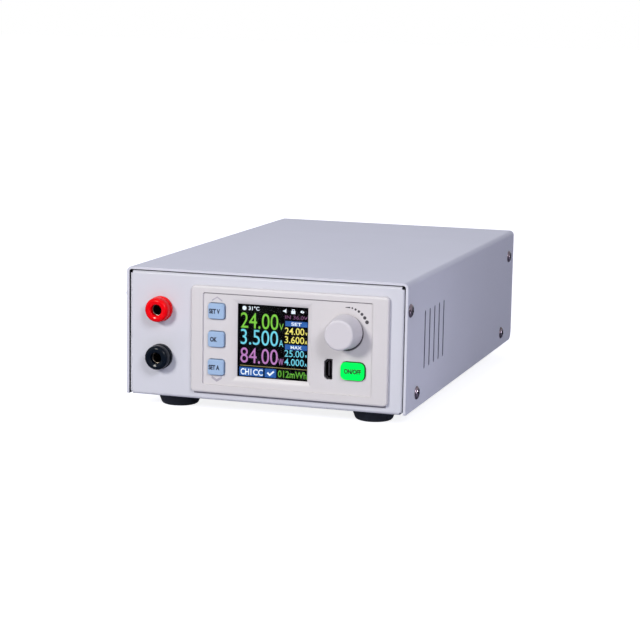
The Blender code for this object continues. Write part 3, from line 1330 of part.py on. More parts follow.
def keel_radius():
    """Furthest point of the rocker's keel from the rocker's axis."""
    return math.hypot(ROCKER_KEEL_HALF, ROCKER_KEEL_DEPTH)


def pin_places():
    return [("inlet_pin_line", (RECESS_X + PIN_OFFSET, PIN_SPACING)),
            ("inlet_pin_neutral", (RECESS_X + PIN_OFFSET, -PIN_SPACING)),
            ("inlet_pin_earth", (RECESS_X - PIN_OFFSET, 0))]


def make_pins():
    """Flat contact blades with a chamfered tip and a solder tail behind the housing."""
    floor = INLET_FACE - INLET_RECESS_DEPTH
    for name, spot in pin_places():
        block(name, rectangle(PIN_WIDTH, PIN_THICKNESS, spot), "y",
              -INLET_BODY_DEPTH - PIN_TAIL, floor + PIN_LENGTH, "nickel", inlet,
              edge=PIN_TIP, edge_at="end", edge_steps=1)


def make_rocker():
    """A V-topped rocker resting with its upper end out, turned about its cross axis."""
    axis_y = INLET_FACE - ROCKER_AXIS_DEPTH
    front = ROCKER_PROUD + ROCKER_AXIS_DEPTH
    valley = ROCKER_VALLEY + ROCKER_AXIS_DEPTH
    side = -ROCKER_BODY_DEPTH / 2
    outline = [(front, ROCKER_HALF_HEIGHT), (side, ROCKER_HALF_HEIGHT),
               (-ROCKER_BODY_DEPTH, ROCKER_KEEL_HALF), (-ROCKER_KEEL_DEPTH, ROCKER_KEEL_HALF),
               (-ROCKER_KEEL_DEPTH, -ROCKER_KEEL_HALF), (-ROCKER_BODY_DEPTH, -ROCKER_KEEL_HALF),
               (side, -ROCKER_HALF_HEIGHT), (front, -ROCKER_HALF_HEIGHT), (valley, 0)]
    rocker = block("power_rocker", outline, "x", -ROCKER_WIDTH / 2, ROCKER_WIDTH / 2,
                   "black plastic", inlet, (ROCKER_X, axis_y, 0))
    rocker.rotation_euler = (-math.radians(ROCKER_TILT_DEG), 0, 0)


def make_fuse_drawer():
    """A drawer that carries one glass fuse upright between its end walls."""
    front = INLET_FACE + DRAWER_PROUD
    back = front - DRAWER_DEPTH
    spot = (DRAWER_X, 0, 0)
    drawer = block("fuse_drawer", rectangle(DRAWER_WIDTH, DRAWER_HEIGHT), "y", back, front,
                   "black plastic", inlet, spot, edge=INLET_EDGE, edge_at="end", edge_steps=1)
    fuse_y = back + FUSE_INSET
    pocket = FUSE_RADIUS + SEAT_GAP
    half_length = FUSE_LENGTH / 2 + SEAT_GAP
    cut(drawer, box("fuse_pocket", (DRAWER_X - DRAWER_WIDTH, fuse_y - pocket, -half_length),
                    (DRAWER_X + DRAWER_WIDTH, fuse_y + pocket, half_length), parent=inlet))
    glass = FUSE_RADIUS - FUSE_CAP_STEP
    end = FUSE_LENGTH / 2
    cap = end - FUSE_CAP_LENGTH
    profile = [(0, end), (FUSE_RADIUS, end), (FUSE_RADIUS, cap), (glass, cap), (glass, -cap),
               (FUSE_RADIUS, -cap), (FUSE_RADIUS, -end), (0, -end)]
    turned("fuse", profile, 12, "nickel", inlet, (DRAWER_X, fuse_y, 0))


# Fan

def make_fan():
    front = FAN_BACK - FAN_THICKNESS
    spot = (FAN_X, 0, REAR_MIDDLE_Z)
    corner = FAN_SCREW_SPACING / 2
    holes = [circle(FAN_SCREW_HOLE_RADIUS, 10, place_xz)
             for place_xz in rectangle(2 * corner, 2 * corner)]
    outline = rounded_rectangle(FAN_SIZE, FAN_SIZE, FAN_CORNER)
    frame = plate("fan_frame", [outline, circle(FAN_BORE_RADIUS, 32), *holes], "y", front,
                  FAN_BACK, "black plastic", case, spot)
    strut = 2 * FAN_BORE_RADIUS + FAN_SIZE / 2 - FAN_BORE_RADIUS
    struts_end = front + FAN_STRUT_THICKNESS
    join(frame, block("fan_strut_level", rectangle(strut, FAN_STRUT_WIDTH), "y", front,
                      struts_end, parent=case, location=spot))
    join(frame, block("fan_strut_upright", rectangle(FAN_STRUT_WIDTH, strut), "y", front,
                      struts_end, parent=case, location=spot))
    join(frame, cylinder("fan_motor_plate", FAN_HUB_RADIUS, front, struts_end, 20, None, case,
                         spot, "back"))
    join(frame, cylinder("fan_pin", FAN_PIN_RADIUS, struts_end - JOIN_OVERLAP,
                         struts_end + FAN_PIN_LENGTH, 10, None, case, spot, "back"))
    make_rotor(struts_end + SEAT_GAP, spot)


def make_rotor(start, spot):
    """A cup-shaped hub bored for its pin, with twisted blades."""
    end = start + FAN_HUB_LENGTH
    bore = FAN_PIN_RADIUS + SEAT_GAP
    ceiling = start + FAN_PIN_LENGTH
    profile = [(0, end), (FAN_HUB_RADIUS - FAN_HUB_WALL, end), (FAN_HUB_RADIUS, end - FAN_HUB_WALL),
               (FAN_HUB_RADIUS, start), (bore, start), (bore, ceiling), (0, ceiling)]
    rotor = turned("fan_rotor", profile, 21, "black plastic", case, spot, "back")
    middle = (start + end) / 2
    for index in range(FAN_BLADES):
        join(rotor, fan_blade(index, middle, spot))


def fan_blade(index, middle, spot):
    """One blade: chords set out at three radii, joined by faces and thickened."""
    root = FAN_HUB_RADIUS - FAN_HUB_WALL
    tip = FAN_BORE_RADIUS - FAN_BLADE_GAP
    around = math.tau * index / FAN_BLADES
    shape = bmesh.new()
    rows = []
    for share in (0, 0.5, 1):
        radius = root + (tip - root) * share
        pitch = math.radians(FAN_BLADE_ROOT_DEG
                             + (FAN_BLADE_TIP_DEG - FAN_BLADE_ROOT_DEG) * share)
        row = []
        for along_share in (-0.5, 0, 0.5):
            along = FAN_BLADE_CHORD * along_share
            angle = around + along * math.cos(pitch) / radius
            row.append(shape.verts.new((radius * math.cos(angle), radius * math.sin(angle),
                                        middle + along * math.sin(pitch))))
        rows.append(row)
    for inner, outer in zip(rows, rows[1:]):
        for column in range(len(inner) - 1):
            shape.faces.new((inner[column], outer[column], outer[column + 1],
                             inner[column + 1]))
    mesh = bpy.data.meshes.new("fan_blade")
    shape.to_mesh(mesh)
    shape.free()
    blade = place(add_piece(f"fan_blade_{index + 1}", mesh, None), case, spot, "back")
    wall = blade.modifiers.new("thickness", "SOLIDIFY")
    wall.thickness = FAN_BLADE_THICKNESS
    wall.offset = 0
    return blade


# Wires from the sockets' tails to the converter's terminals

def smooth_route(points, steps):
    """Points on a smooth curve through the route's own points."""
    ends = [points[0] * 2 - points[1], *points, points[-1] * 2 - points[-2]]
    route = []
    for a, b, c, d in zip(ends, ends[1:], ends[2:], ends[3:]):
        for step in range(steps):
            t = step / steps
            route.append(0.5 * (2 * b + (c - a) * t + (2 * a - 5 * b + 4 * c - d) * t ** 2
                                + (3 * b - a - 3 * c + d) * t ** 3))
    route.append(points[-1])
    return route


def make_wire(name, points, finish):
    curve = bpy.data.curves.new(name, "CURVE")
    curve.dimensions = "3D"
    curve.bevel_depth = WIRE_RADIUS
    curve.bevel_resolution = 2
    curve.use_fill_caps = True
    route = smooth_route([Vector(point) for point in points], WIRE_STEPS)
    spline = curve.splines.new("POLY")
    spline.points.add(len(route) - 1)
    for point, place_xyz in zip(spline.points, route):
        point.co = (*place_xyz, 1)
    place(add_piece(name, curve, finish), case)


def route_points(start, end, shares):
    """Points from one end to the other; each axis has its own share of the way."""
    return [[a + (b - a) * share for a, b, share in zip(start, end, row)] for row in shares]


def make_wires():
    """The negative wire takes the nearer pole; the positive one passes over and behind it."""
    tail = -sleeve_back() + SOLDER_TAIL_LENGTH + SEAT_GAP
    seat = CONVERTER_DEPTH + BOARD_THICKNESS + SEAT_GAP
    entry_y = seat + TERMINAL_HEIGHT + SEAT_GAP
    terminal_x, terminal_z = converter_terminal_place()
    upper, lower = jack_heights()
    last_pole = (CONVERTER_POLES - 1) / 2 * TERMINAL_POLE
    z = MODULE_Z + terminal_z
    x = MODULE_X + terminal_x - last_pole
    make_wire("output_wire_negative",
              route_points((JACK_X, tail, lower), (x, entry_y, z), NEGATIVE_WIRE_SHARES),
              "black wire")
    x += TERMINAL_POLE
    make_wire("output_wire_positive",
              route_points((JACK_X, tail, upper), (x, entry_y, z), POSITIVE_WIRE_SHARES),
              "red wire")


clear_scene()
parts = new_collection("laboratory_power_supply")
cutters = new_collection("cutters")
case = new_frame("case_frame", (0, FRONT_Y, FOOT_HEIGHT))
module = new_frame("module_frame", (MODULE_X, 0, MODULE_Z), case)
inlet = new_frame("inlet_frame", (INLET_X, CHASSIS_DEPTH, REAR_MIDDLE_Z), case)
make_chassis()
make_cover()
make_feet()
make_cover_screws()
make_jacks()
make_bezel()
make_display()
make_keys()
make_usb_socket()
make_encoder()
make_control_board()
make_converter()
make_supply()
make_inlet()
make_pins()
make_rocker()
make_fuse_drawer()
make_fan()
make_wires()
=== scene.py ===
import math

import bmesh
import bpy
from mathutils import Matrix, Vector


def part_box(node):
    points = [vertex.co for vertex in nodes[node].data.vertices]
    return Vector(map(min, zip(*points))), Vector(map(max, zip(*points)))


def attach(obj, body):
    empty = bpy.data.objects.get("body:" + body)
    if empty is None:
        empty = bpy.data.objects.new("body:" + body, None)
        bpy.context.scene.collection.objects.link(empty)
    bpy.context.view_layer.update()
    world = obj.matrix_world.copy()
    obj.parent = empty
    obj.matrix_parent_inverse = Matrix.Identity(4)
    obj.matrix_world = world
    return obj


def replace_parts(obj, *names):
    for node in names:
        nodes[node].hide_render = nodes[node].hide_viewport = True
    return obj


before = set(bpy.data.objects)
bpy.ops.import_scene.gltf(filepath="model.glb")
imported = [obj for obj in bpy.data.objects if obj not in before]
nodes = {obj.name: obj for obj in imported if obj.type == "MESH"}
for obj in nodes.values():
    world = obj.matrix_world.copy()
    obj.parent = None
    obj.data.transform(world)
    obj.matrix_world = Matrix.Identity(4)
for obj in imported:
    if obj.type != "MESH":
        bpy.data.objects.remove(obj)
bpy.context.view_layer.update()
mm = 0.001
beyond = 1.0  # further out than any face of the object
print("frame loaded:", len(nodes), "nodes")


# Camera and studio

viewpoint = {
    "location": (0.24746, -0.79907, 0.16284),
    "azimuth": 17.54,
    "elevation": 9.332,
    "roll": 1.035,
    "lens": 110.81,
    "sensorWidth": 36.0,
}


def addCamera(setup):
    around = math.radians(setup["azimuth"])
    rise = math.radians(setup["elevation"])
    roll = math.radians(setup["roll"])
    back = Vector((math.sin(around) * math.cos(rise), -math.cos(around) * math.cos(rise),
                   math.sin(rise)))
    right = Vector((math.cos(around), math.sin(around), 0))
    up = back.cross(right)
    across = right * math.cos(roll) + up * math.sin(roll)
    upright = up * math.cos(roll) - right * math.sin(roll)
    data = bpy.data.cameras.new("camera")
    data.lens = setup["lens"]
    data.sensor_width = setup["sensorWidth"]
    data.clip_start = 0.01
    camera = bpy.data.objects.new("camera", data)
    bpy.context.scene.collection.objects.link(camera)
    turn = Matrix((across, upright, back)).transposed().to_4x4()
    camera.matrix_world = Matrix.Translation(setup["location"]) @ turn
    bpy.context.scene.camera = camera


studio = {
    "skyStrength": 0.03,
    "skyColour": (0.84, 0.85, 1.0),
    "floorSize": 12.0,
    "floorColour": (0.45, 0.46, 0.56),
    "floorFinish": (0.9, 0.1),  # roughness and specular level
    # seen by the camera only, so that the floor reads as white paper, less so near the object
    "floorLift": (0.85, 0.96),
    "floorFade": (0.3, 1.2),
    "aim": (0.0, 0.0, 0.03),
    # name: where it stands seen from the object, distance, size, level, colour
    "lamps": {
        "keyLamp": ((-0.33, -0.87, 0.36), 1.2, 0.26, 0.57, (1.0, 0.99, 0.93)),
        "fillLamp": ((0.50, -0.72, 0.47), 1.2, 0.42, 0.43, (0.94, 0.95, 1.0)),
        "sideLamp": ((0.88, -0.47, -0.10), 0.17, 0.015, 0.052, (0.90, 0.91, 1.0)),
        "lowLamp": ((0.88, 0.47, -0.02), 0.60, 0.02, 0.095, (0.90, 0.91, 1.0)),
        "topLamp": ((-0.02, -0.07, 1.0), 0.60, 0.12, 0.235, (0.82, 0.87, 1.0)),
        "rearLamp": ((-0.22, 0.75, 0.80), 1.4, 0.30, 0.18, (0.93, 0.95, 1.0)),
        "backLamp": ((-0.80, 0.58, 0.16), 1.3, 0.35, 0.34, (0.96, 0.97, 1.0)),
    },
}


def addNode(tree, kind, links=None, **settings):
    node = tree.nodes.new(kind)
    for key, value in settings.items():
        setattr(node, key, value)
    for socket, source in (links or {}).items():
        target = node.inputs[socket]
        if isinstance(source, bpy.types.NodeSocket):
            tree.links.new(source, target)
        else:
            target.default_value = source
    return node


def setInputs(node, values):
    for socket, value in values.items():
        node.inputs[socket].default_value = value


def maths(tree, operation, first, second=0.0):
    return addNode(tree, "ShaderNodeMath", {0: first, 1: second}, operation=operation).outputs[0]


def mixTones(tree, share, first, second):
    # a tone is a colour or a link
    tones = [tone if isinstance(tone, bpy.types.NodeSocket) else (*tone, 1)
             for tone in (first, second)]
    mix = addNode(tree, "ShaderNodeMix", {0: share, 6: tones[0], 7: tones[1]}, data_type="RGBA")
    return mix.outputs[2]


def addWorld(setup):
    world = bpy.data.worlds.new("studioSky")
    bpy.context.scene.world = world
    world.use_nodes = True
    tree = world.node_tree
    tree.nodes.clear()
    rays = addNode(tree, "ShaderNodeLightPath").outputs
    seen = maths(tree, "MAXIMUM", rays["Is Camera Ray"], rays["Is Glossy Ray"])
    seen = maths(tree, "MAXIMUM", seen, rays["Is Transmission Ray"])
    sky = addNode(tree, "ShaderNodeBackground", {"Color": (*setup["skyColour"], 1),
                                                 "Strength": setup["skyStrength"]})
    paper = addNode(tree, "ShaderNodeBackground", {"Color": (1, 1, 1, 1), "Strength": 1.0})
    mix = addNode(tree, "ShaderNodeMixShader", {0: seen, 1: sky.outputs[0],
                                                2: paper.outputs[0]})
    addNode(tree, "ShaderNodeOutputWorld", {"Surface": mix.outputs[0]})


def addLamps(setup):
    aim = Vector(setup["aim"])
    for name, (towards, distance, size, level, colour) in setup["lamps"].items():
        direction = Vector(towards).normalized()
        data = bpy.data.lights.new(name, "AREA")
        data.shape = "DISK"
        data.size = size
        data.energy = level * (math.pi * distance) ** 2  # level 1 shows a colour as written
        data.color = colour
        lamp = bpy.data.objects.new(name, data)
        bpy.context.scene.collection.objects.link(lamp)
        lamp.location = aim + direction * distance
        lamp.rotation_euler = direction.to_track_quat("Z", "Y").to_euler()
        lamp.visible_camera = False


def addFloor(setup):
    mesh = bpy.data.meshes.new("floor")
    half = setup["floorSize"] / 2
    corners = [(-half, -half, 0), (half, -half, 0), (half, half, 0), (-half, half, 0)]
    mesh.from_pydata(corners, [], [(0, 1, 2, 3)])
    floor = bpy.data.objects.new("floor", mesh)
    bpy.context.scene.collection.objects.link(floor)
    roughness, specular = setup["floorFinish"]
    material, tree, shader = newSurface("floorPaper", setup["floorColour"], roughness)
    setInputs(shader, {"Specular IOR Level": specular, "Emission Color": (1, 1, 1, 1)})
    rays = addNode(tree, "ShaderNodeLightPath").outputs
    place = addNode(tree, "ShaderNodeTexCoord")
    away = addNode(tree, "ShaderNodeVectorMath", {0: place.outputs["Object"]},
                   operation="LENGTH")
    near, far = setup["floorFade"]
    least, most = setup["floorLift"]
    level = addNode(tree, "ShaderNodeMapRange", {"Value": away.outputs["Value"],
                                                 "From Min": near, "From Max": far,
                                                 "To Min": least, "To Max": most})
    lift = maths(tree, "MULTIPLY", rays["Is Camera Ray"], level.outputs["Result"])
    tree.links.new(lift, shader.inputs["Emission Strength"])
    mesh.materials.append(material)


# Surfaces: every one reads Object coordinates, in metres

def newSurface(name, colour, roughness=0.5, metallic=0.0):
    material = bpy.data.materials.new(name)
    material.use_nodes = True
    tree = material.node_tree
    shader = tree.nodes["Principled BSDF"]
    setInputs(shader, {"Base Color": (*colour, 1), "Roughness": roughness,
                       "Metallic": metallic})
    material.diffuse_color = (*colour, 1)
    return material, tree, shader


def noiseOn(tree, scale, detail=2.0, stretch=(1, 1, 1)):
    coords = addNode(tree, "ShaderNodeTexCoord")
    mapping = addNode(tree, "ShaderNodeMapping", {"Vector": coords.outputs["Object"],
                                                  "Scale": stretch})
    noise = addNode(tree, "ShaderNodeTexNoise", {"Vector": mapping.outputs[0], "Scale": scale,
                                                 "Detail": detail})
    return noise.outputs[0]


def stretchNoise(tree, noise, low, high):
    # the middle of the noise spreads over the whole range
    return addNode(tree, "ShaderNodeMapRange", {0: noise, 1: 0.3, 2: 0.7, 3: low,
                                                4: high}).outputs[0]


def shiftTone(tree, shader, colour, spread, scale):
    share = stretchNoise(tree, noiseOn(tree, scale, 3.0), 0.0, 1.0)
    darker = [value * (1 - spread) for value in colour]
    lighter = [min(1, value * (1 + spread)) for value in colour]
    tree.links.new(mixTones(tree, share, darker, lighter), shader.inputs["Base Color"])


def varyGloss(tree, shader, low, high, scale):
    gloss = stretchNoise(tree, noiseOn(tree, scale, 4.0), low, high)
    tree.links.new(gloss, shader.inputs["Roughness"])


def addGrain(tree, shader, scale, depth, stretch=(1, 1, 1)):
    bump = addNode(tree, "ShaderNodeBump", {"Strength": 1.0, "Distance": depth,
                                            "Height": noiseOn(tree, scale, stretch=stretch)})
    tree.links.new(bump.outputs[0], shader.inputs["Normal"])


def texturedSurface(name, look):
    # look: colour, tone (spread, scale), gloss (low, high, scale), grain (scale, depth)
    material, tree, shader = newSurface(name, look["colour"], look["gloss"][0],
                                        look.get("metallic", 0.0))
    setInputs(shader, {"Specular IOR Level": look.get("specular", 0.5)})
    shiftTone(tree, shader, look["colour"], *look["tone"])
    varyGloss(tree, shader, *look["gloss"])
    addGrain(tree, shader, *look["grain"])
    if "glow" in look:
        tone, strength = look["glow"]
        setInputs(shader, {"Emission Color": (*tone, 1), "Emission Strength": strength})
    return material


# Shapes

mergeDistance = 0.002 * mm
flatAngle = math.radians(0.5)  # faces that turn less become one
shadeAngle = math.radians(30)  # edges that turn more stay sharp in the shading
bevelAngle = math.radians(40)  # and from here they get a bevel


def newPiece(name, mesh, material):
    piece = bpy.data.objects.new(name, mesh)
    bpy.context.scene.collection.objects.link(piece)
    mesh.materials.clear()
    mesh.materials.append(material)
    return piece


def middleOf(node):
    low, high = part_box(node)
    return (low + high) / 2


def smoothShade(mesh):
    mesh.polygons.foreach_set("use_smooth", [True] * len(mesh.polygons))
    mesh.set_sharp_from_angle(angle=shadeAngle)
    mesh.update()


def meshOf(shape, name):
    mesh = bpy.data.meshes.new(name)
    shape.to_mesh(mesh)
    shape.free()
    return mesh


def evenNormals(piece):
    weighted = piece.modifiers.new("normals", "WEIGHTED_NORMAL")
    weighted.keep_sharp = True


def softenEdges(piece, width):
    bevel = piece.modifiers.new("edges", "BEVEL")
    bevel.width = width
    bevel.segments = 2
    bevel.limit_method = "ANGLE"
    bevel.angle_limit = bevelAngle
    bevel.miter_outer = "MITER_ARC"
    evenNormals(piece)


def softCopy(name, node, material, edge, body="case"):
    # the node's own shape, merged, with small rounded edges
    shape = bmesh.new()
    shape.from_mesh(nodes[node].data)
    bmesh.ops.remove_doubles(shape, verts=shape.verts, dist=mergeDistance)
    bmesh.ops.dissolve_limit(shape, angle_limit=flatAngle, verts=shape.verts,
                             edges=shape.edges)
    piece = newPiece(name, meshOf(shape, name), material)
    smoothShade(piece.data)
    softenEdges(piece, edge)
    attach(piece, body)
    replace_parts(piece, node)
    return piece


def filleted(points, closed=False, steps=5):
    # points are (u, v) or (u, v, corner radius)
    path = []
    count = len(points)
    for index, point in enumerate(points):
        here = Vector(point[:2])
        radius = point[2] if len(point) > 2 else 0
        if not radius or (not closed and index in (0, count - 1)):
            path.append(here)
            continue
        before = (Vector(points[index - 1][:2]) - here).normalized()
        after = (Vector(points[(index + 1) % count][:2]) - here).normalized()
        half = before.angle(after) / 2
        centre = here + (before + after).normalized() * (radius / math.sin(half))
        start = here + before * (radius / math.tan(half)) - centre
        end = here + after * (radius / math.tan(half)) - centre
        for step in range(steps + 1):
            spoke = start.lerp(end, step / steps)
            path.append(centre + spoke.normalized() * radius)
    return path


facings = {
    "front": Matrix.Rotation(math.radians(90), 4, "X"),
    "back": Matrix.Rotation(math.radians(-90), 4, "X"),
    "up": Matrix.Identity(4),
}


def lathe(name, profile, centre, facing, steps=64, closed=False):
    # profile of (radius, height, corner radius); height runs along the facing
    path = filleted(profile, closed)
    shape = bmesh.new()
    rings = []
    for radius, height in path:
        if radius < 1e-7:
            rings.append([shape.verts.new((0, 0, height))])
            continue
        rings.append([shape.verts.new((radius * math.cos(math.tau * step / steps),
                                       radius * math.sin(math.tau * step / steps), height))
                      for step in range(steps)])
    pairs = list(zip(rings, rings[1:]))
    if closed:
        pairs.append((rings[-1], rings[0]))
    for low, high in pairs:
        for step in range(steps):
            following = (step + 1) % steps
            corners = [low[step % len(low)], low[following % len(low)],
                       high[following % len(high)], high[step % len(high)]]
            corners = list(dict.fromkeys(corners))
            if len(corners) > 2:
                shape.faces.new(corners)
    bmesh.ops.recalc_face_normals(shape, faces=shape.faces)
    shape.transform(Matrix.Translation(centre) @ facings[facing])
    mesh = meshOf(shape, name)
    smoothShade(mesh)
    return mesh


def joinMeshes(name, meshes):
    shape = bmesh.new()
    for mesh in meshes:
        shape.from_mesh(mesh)
        bpy.data.meshes.remove(mesh)
    return meshOf(shape, name)


def addCap(shape, width, height, corner, start, end, centre, steps=8):
    # rounded block in the front plane, from depth start back to depth end
    w, h = width / 2, height / 2
    outline = filleted([(-w, -h, corner), (w, -h, corner), (w, h, corner), (-w, h, corner)],
                       closed=True, steps=steps)
    rim = [shape.verts.new((centre[0] + u, start, centre[2] + v)) for u, v in outline]
    face = shape.faces.new(rim)
    grown = bmesh.ops.extrude_face_region(shape, geom=[face])
    far = [item for item in grown["geom"] if isinstance(item, bmesh.types.BMVert)]
    bmesh.ops.translate(shape, verts=far, vec=(0, end - start, 0))


def textMesh(words, weight=0.0):
    curve = bpy.data.curves.new("words", "FONT")
    curve.body = words
    curve.size = 1
    curve.offset = weight
    curve.resolution_u = 6
    curve.fill_mode = "FRONT"
    holder = bpy.data.objects.new("words", curve)
    bpy.context.scene.collection.objects.link(holder)
    bpy.context.view_layer.update()
    mesh = bpy.data.meshes.new_from_object(
        holder.evaluated_get(bpy.context.evaluated_depsgraph_get()))
    bpy.data.objects.remove(holder)
    bpy.data.curves.remove(curve)
    return mesh


def fitFlat(mesh, low, high, depth, thickness):
    # a flat shape drawn in x and y stands up in the front plane and fills the box given
    xs = [vert.co.x for vert in mesh.vertices]
    ys = [vert.co.y for vert in mesh.vertices]
    width = (high[0] - low[0]) / (max(xs) - min(xs))
    height = (high[1] - low[1]) / (max(ys) - min(ys))
    for vert in mesh.vertices:
        vert.co = (low[0] + (vert.co.x - min(xs)) * width, depth,
                   low[1] + (vert.co.y - min(ys)) * height)
    return thicken(mesh, thickness)


def thicken(mesh, thickness):
    # gives a print or a figure on the screen its thickness, towards the front
    shape = bmesh.new()
    shape.from_mesh(mesh)
    bmesh.ops.remove_doubles(shape, verts=shape.verts, dist=1e-7)
    bmesh.ops.recalc_face_normals(shape, faces=shape.faces)
    grown = bmesh.ops.extrude_face_region(shape, geom=list(shape.faces))
    far = [item for item in grown["geom"] if isinstance(item, bmesh.types.BMVert)]
    bmesh.ops.translate(shape, verts=far, vec=(0, -thickness, 0))
    bmesh.ops.recalc_face_normals(shape, faces=shape.faces)
    bpy.data.meshes.remove(mesh)
    return meshOf(shape, "flat")


def outlineMesh(points):
    mesh = bpy.data.meshes.new("outline")
    mesh.from_pydata([(u, v, 0) for u, v in points], [], [tuple(range(len(points)))])
    return mesh


# Geometry Nodes tools

def newTool(name, inputs):
    # the kind of each named input follows its value, and every tool takes a material
    kinds = {float: "NodeSocketFloat", int: "NodeSocketInt", tuple: "NodeSocketVector"}
    tool = bpy.data.node_groups.new(name, "GeometryNodeTree")
    tool.interface.new_socket("Geometry", in_out="INPUT", socket_type="NodeSocketGeometry")
    for label, value in inputs.items():
        socket = tool.interface.new_socket(label, in_out="INPUT", socket_type=kinds[type(value)])
        socket.default_value = value
    tool.interface.new_socket("Material", in_out="INPUT", socket_type="NodeSocketMaterial")
    tool.interface.new_socket("Geometry", in_out="OUTPUT", socket_type="NodeSocketGeometry")
    return tool, tool.nodes.new("NodeGroupInput").outputs


def closeTool(tool, given, links):
    placed = addNode(tool, "GeometryNodeInstanceOnPoints", links)
    real = addNode(tool, "GeometryNodeRealizeInstances", {0: placed.outputs[0]})
    painted = addNode(tool, "GeometryNodeSetMaterial", {0: real.outputs[0],
                                                        2: given["Material"]})
    addNode(tool, "NodeGroupOutput", {0: painted.outputs[0]})
    return tool


def useTool(tool, name, source, values, material):
    # runs the tool on a source mesh and keeps the result as a plain mesh
    holder = bpy.data.objects.new(name + "Source", source)
    bpy.context.scene.collection.objects.link(holder)
    modifier = holder.modifiers.new(name, "NODES")
    modifier.node_group = tool
    values = {**values, "Material": material}
    for item in tool.interface.items_tree:
        if item.in_out == "INPUT" and item.name in values:
            modifier[item.identifier] = values[item.name]
    bpy.context.view_layer.update()
    evaluated = holder.evaluated_get(bpy.context.evaluated_depsgraph_get())
    mesh = bpy.data.meshes.new_from_object(evaluated)
    mesh.name = name
    bpy.data.objects.remove(holder)
    smoothShade(mesh)
    return mesh


def pointsMesh(places, facing):
    mesh = bpy.data.meshes.new("places")
    mesh.from_pydata(places, [], [])
    attribute = mesh.attributes.new("facing", "FLOAT_VECTOR", "POINT")
    for item, direction in zip(attribute.data, facing):
        item.vector = direction
    return mesh


def makeScrewTool():
    # pan heads with a cross recess, each turned by chance
    crown = 1.3  # the crown rises past the head height, which cuts it flat
    sunk = -0.49  # place of the shank's middle, as a share of its length
    tool, given = newTool("panHeadScrews", {
        "Head radius": 2.75 * mm, "Head height": 1.5 * mm, "Recess length": 3.0 * mm,
        "Recess width": 0.7 * mm, "Recess depth": 1.0 * mm, "Shank radius": 1.35 * mm,
        "Shank length": 5.0 * mm, "Seed": 4})
    ball = addNode(tool, "GeometryNodeMeshUVSphere", {"Segments": 40, "Rings": 24,
                                                      "Radius": given["Head radius"]})
    place = addNode(tool, "GeometryNodeInputPosition")
    x, y, z = addNode(tool, "ShaderNodeSeparateXYZ", {0: place.outputs[0]}).outputs
    squashed = maths(tool, "DIVIDE", given["Head height"], given["Head radius"])
    tall = maths(tool, "MULTIPLY", z, maths(tool, "MULTIPLY", squashed, crown))
    level = maths(tool, "MINIMUM", tall, given["Head height"])
    moved = addNode(tool, "ShaderNodeCombineXYZ", {0: x, 1: y,
                                                   2: maths(tool, "MAXIMUM", level, 0.0)})
    head = addNode(tool, "GeometryNodeSetPosition", {0: ball.outputs[0], 2: moved.outputs[0]})
    recess = addNode(tool, "GeometryNodeMeshBoolean", {0: head.outputs[0]},
                     operation="DIFFERENCE", solver="EXACT")
    deep = maths(tool, "MULTIPLY", given["Recess depth"], 2.0)
    lift = addNode(tool, "ShaderNodeCombineXYZ", {2: given["Head height"]})
    for across, along in (("Recess length", "Recess width"), ("Recess width", "Recess length")):
        size = addNode(tool, "ShaderNodeCombineXYZ", {0: given[across], 1: given[along], 2: deep})
        bar = addNode(tool, "GeometryNodeMeshCube", {0: size.outputs[0]})
        cutter = addNode(tool, "GeometryNodeTransform", {0: bar.outputs[0],
                                                         "Translation": lift.outputs[0]})
        tool.links.new(cutter.outputs[0], recess.inputs[1])
    shank = addNode(tool, "GeometryNodeMeshCylinder", {
        "Vertices": 20, "Radius": given["Shank radius"], "Depth": given["Shank length"]})
    down = addNode(tool, "ShaderNodeCombineXYZ",
                   {2: maths(tool, "MULTIPLY", given["Shank length"], sunk)})
    shank = addNode(tool, "GeometryNodeTransform", {0: shank.outputs[0],
                                                    "Translation": down.outputs[0]})
    whole = addNode(tool, "GeometryNodeJoinGeometry", {0: recess.outputs[0]})
    tool.links.new(shank.outputs[0], whole.inputs[0])
    facing = addNode(tool, "GeometryNodeInputNamedAttribute", {0: "facing"},
                     data_type="FLOAT_VECTOR")
    aimed = addNode(tool, "FunctionNodeAlignRotationToVector", {2: facing.outputs[0]}, axis="Z")
    chance = addNode(tool, "FunctionNodeRandomValue", {2: 0.0, 3: math.tau,
                                                       "Seed": given["Seed"]}, data_type="FLOAT")
    roll = addNode(tool, "FunctionNodeAxisAngleToRotation", {0: (0, 0, 1),
                                                             1: chance.outputs[1]})
    turned = addNode(tool, "FunctionNodeRotateRotation", {0: aimed.outputs[0],
                                                          1: roll.outputs[0]},
                     rotation_space="LOCAL")
    return closeTool(tool, given, {"Points": given["Geometry"], "Instance": whole.outputs[0],
                                   "Rotation": turned.outputs[0]})


def makeRingTool():
    # repeats the source round the Y axis through a centre
    tool, given = newTool("repeatRound", {"Count": 7, "Centre": (0, 0, 0)})
    points = addNode(tool, "GeometryNodePoints", {"Count": given["Count"],
                                                  "Position": given["Centre"]})
    index = addNode(tool, "GeometryNodeInputIndex").outputs[0]
    share = maths(tool, "DIVIDE", index, given["Count"])
    turn = addNode(tool, "FunctionNodeAxisAngleToRotation",
                   {0: (0, 1, 0), 1: maths(tool, "MULTIPLY", share, math.tau)})
    return closeTool(tool, given, {"Points": points.outputs[0], "Instance": given["Geometry"],
                                   "Rotation": turn.outputs[0]})


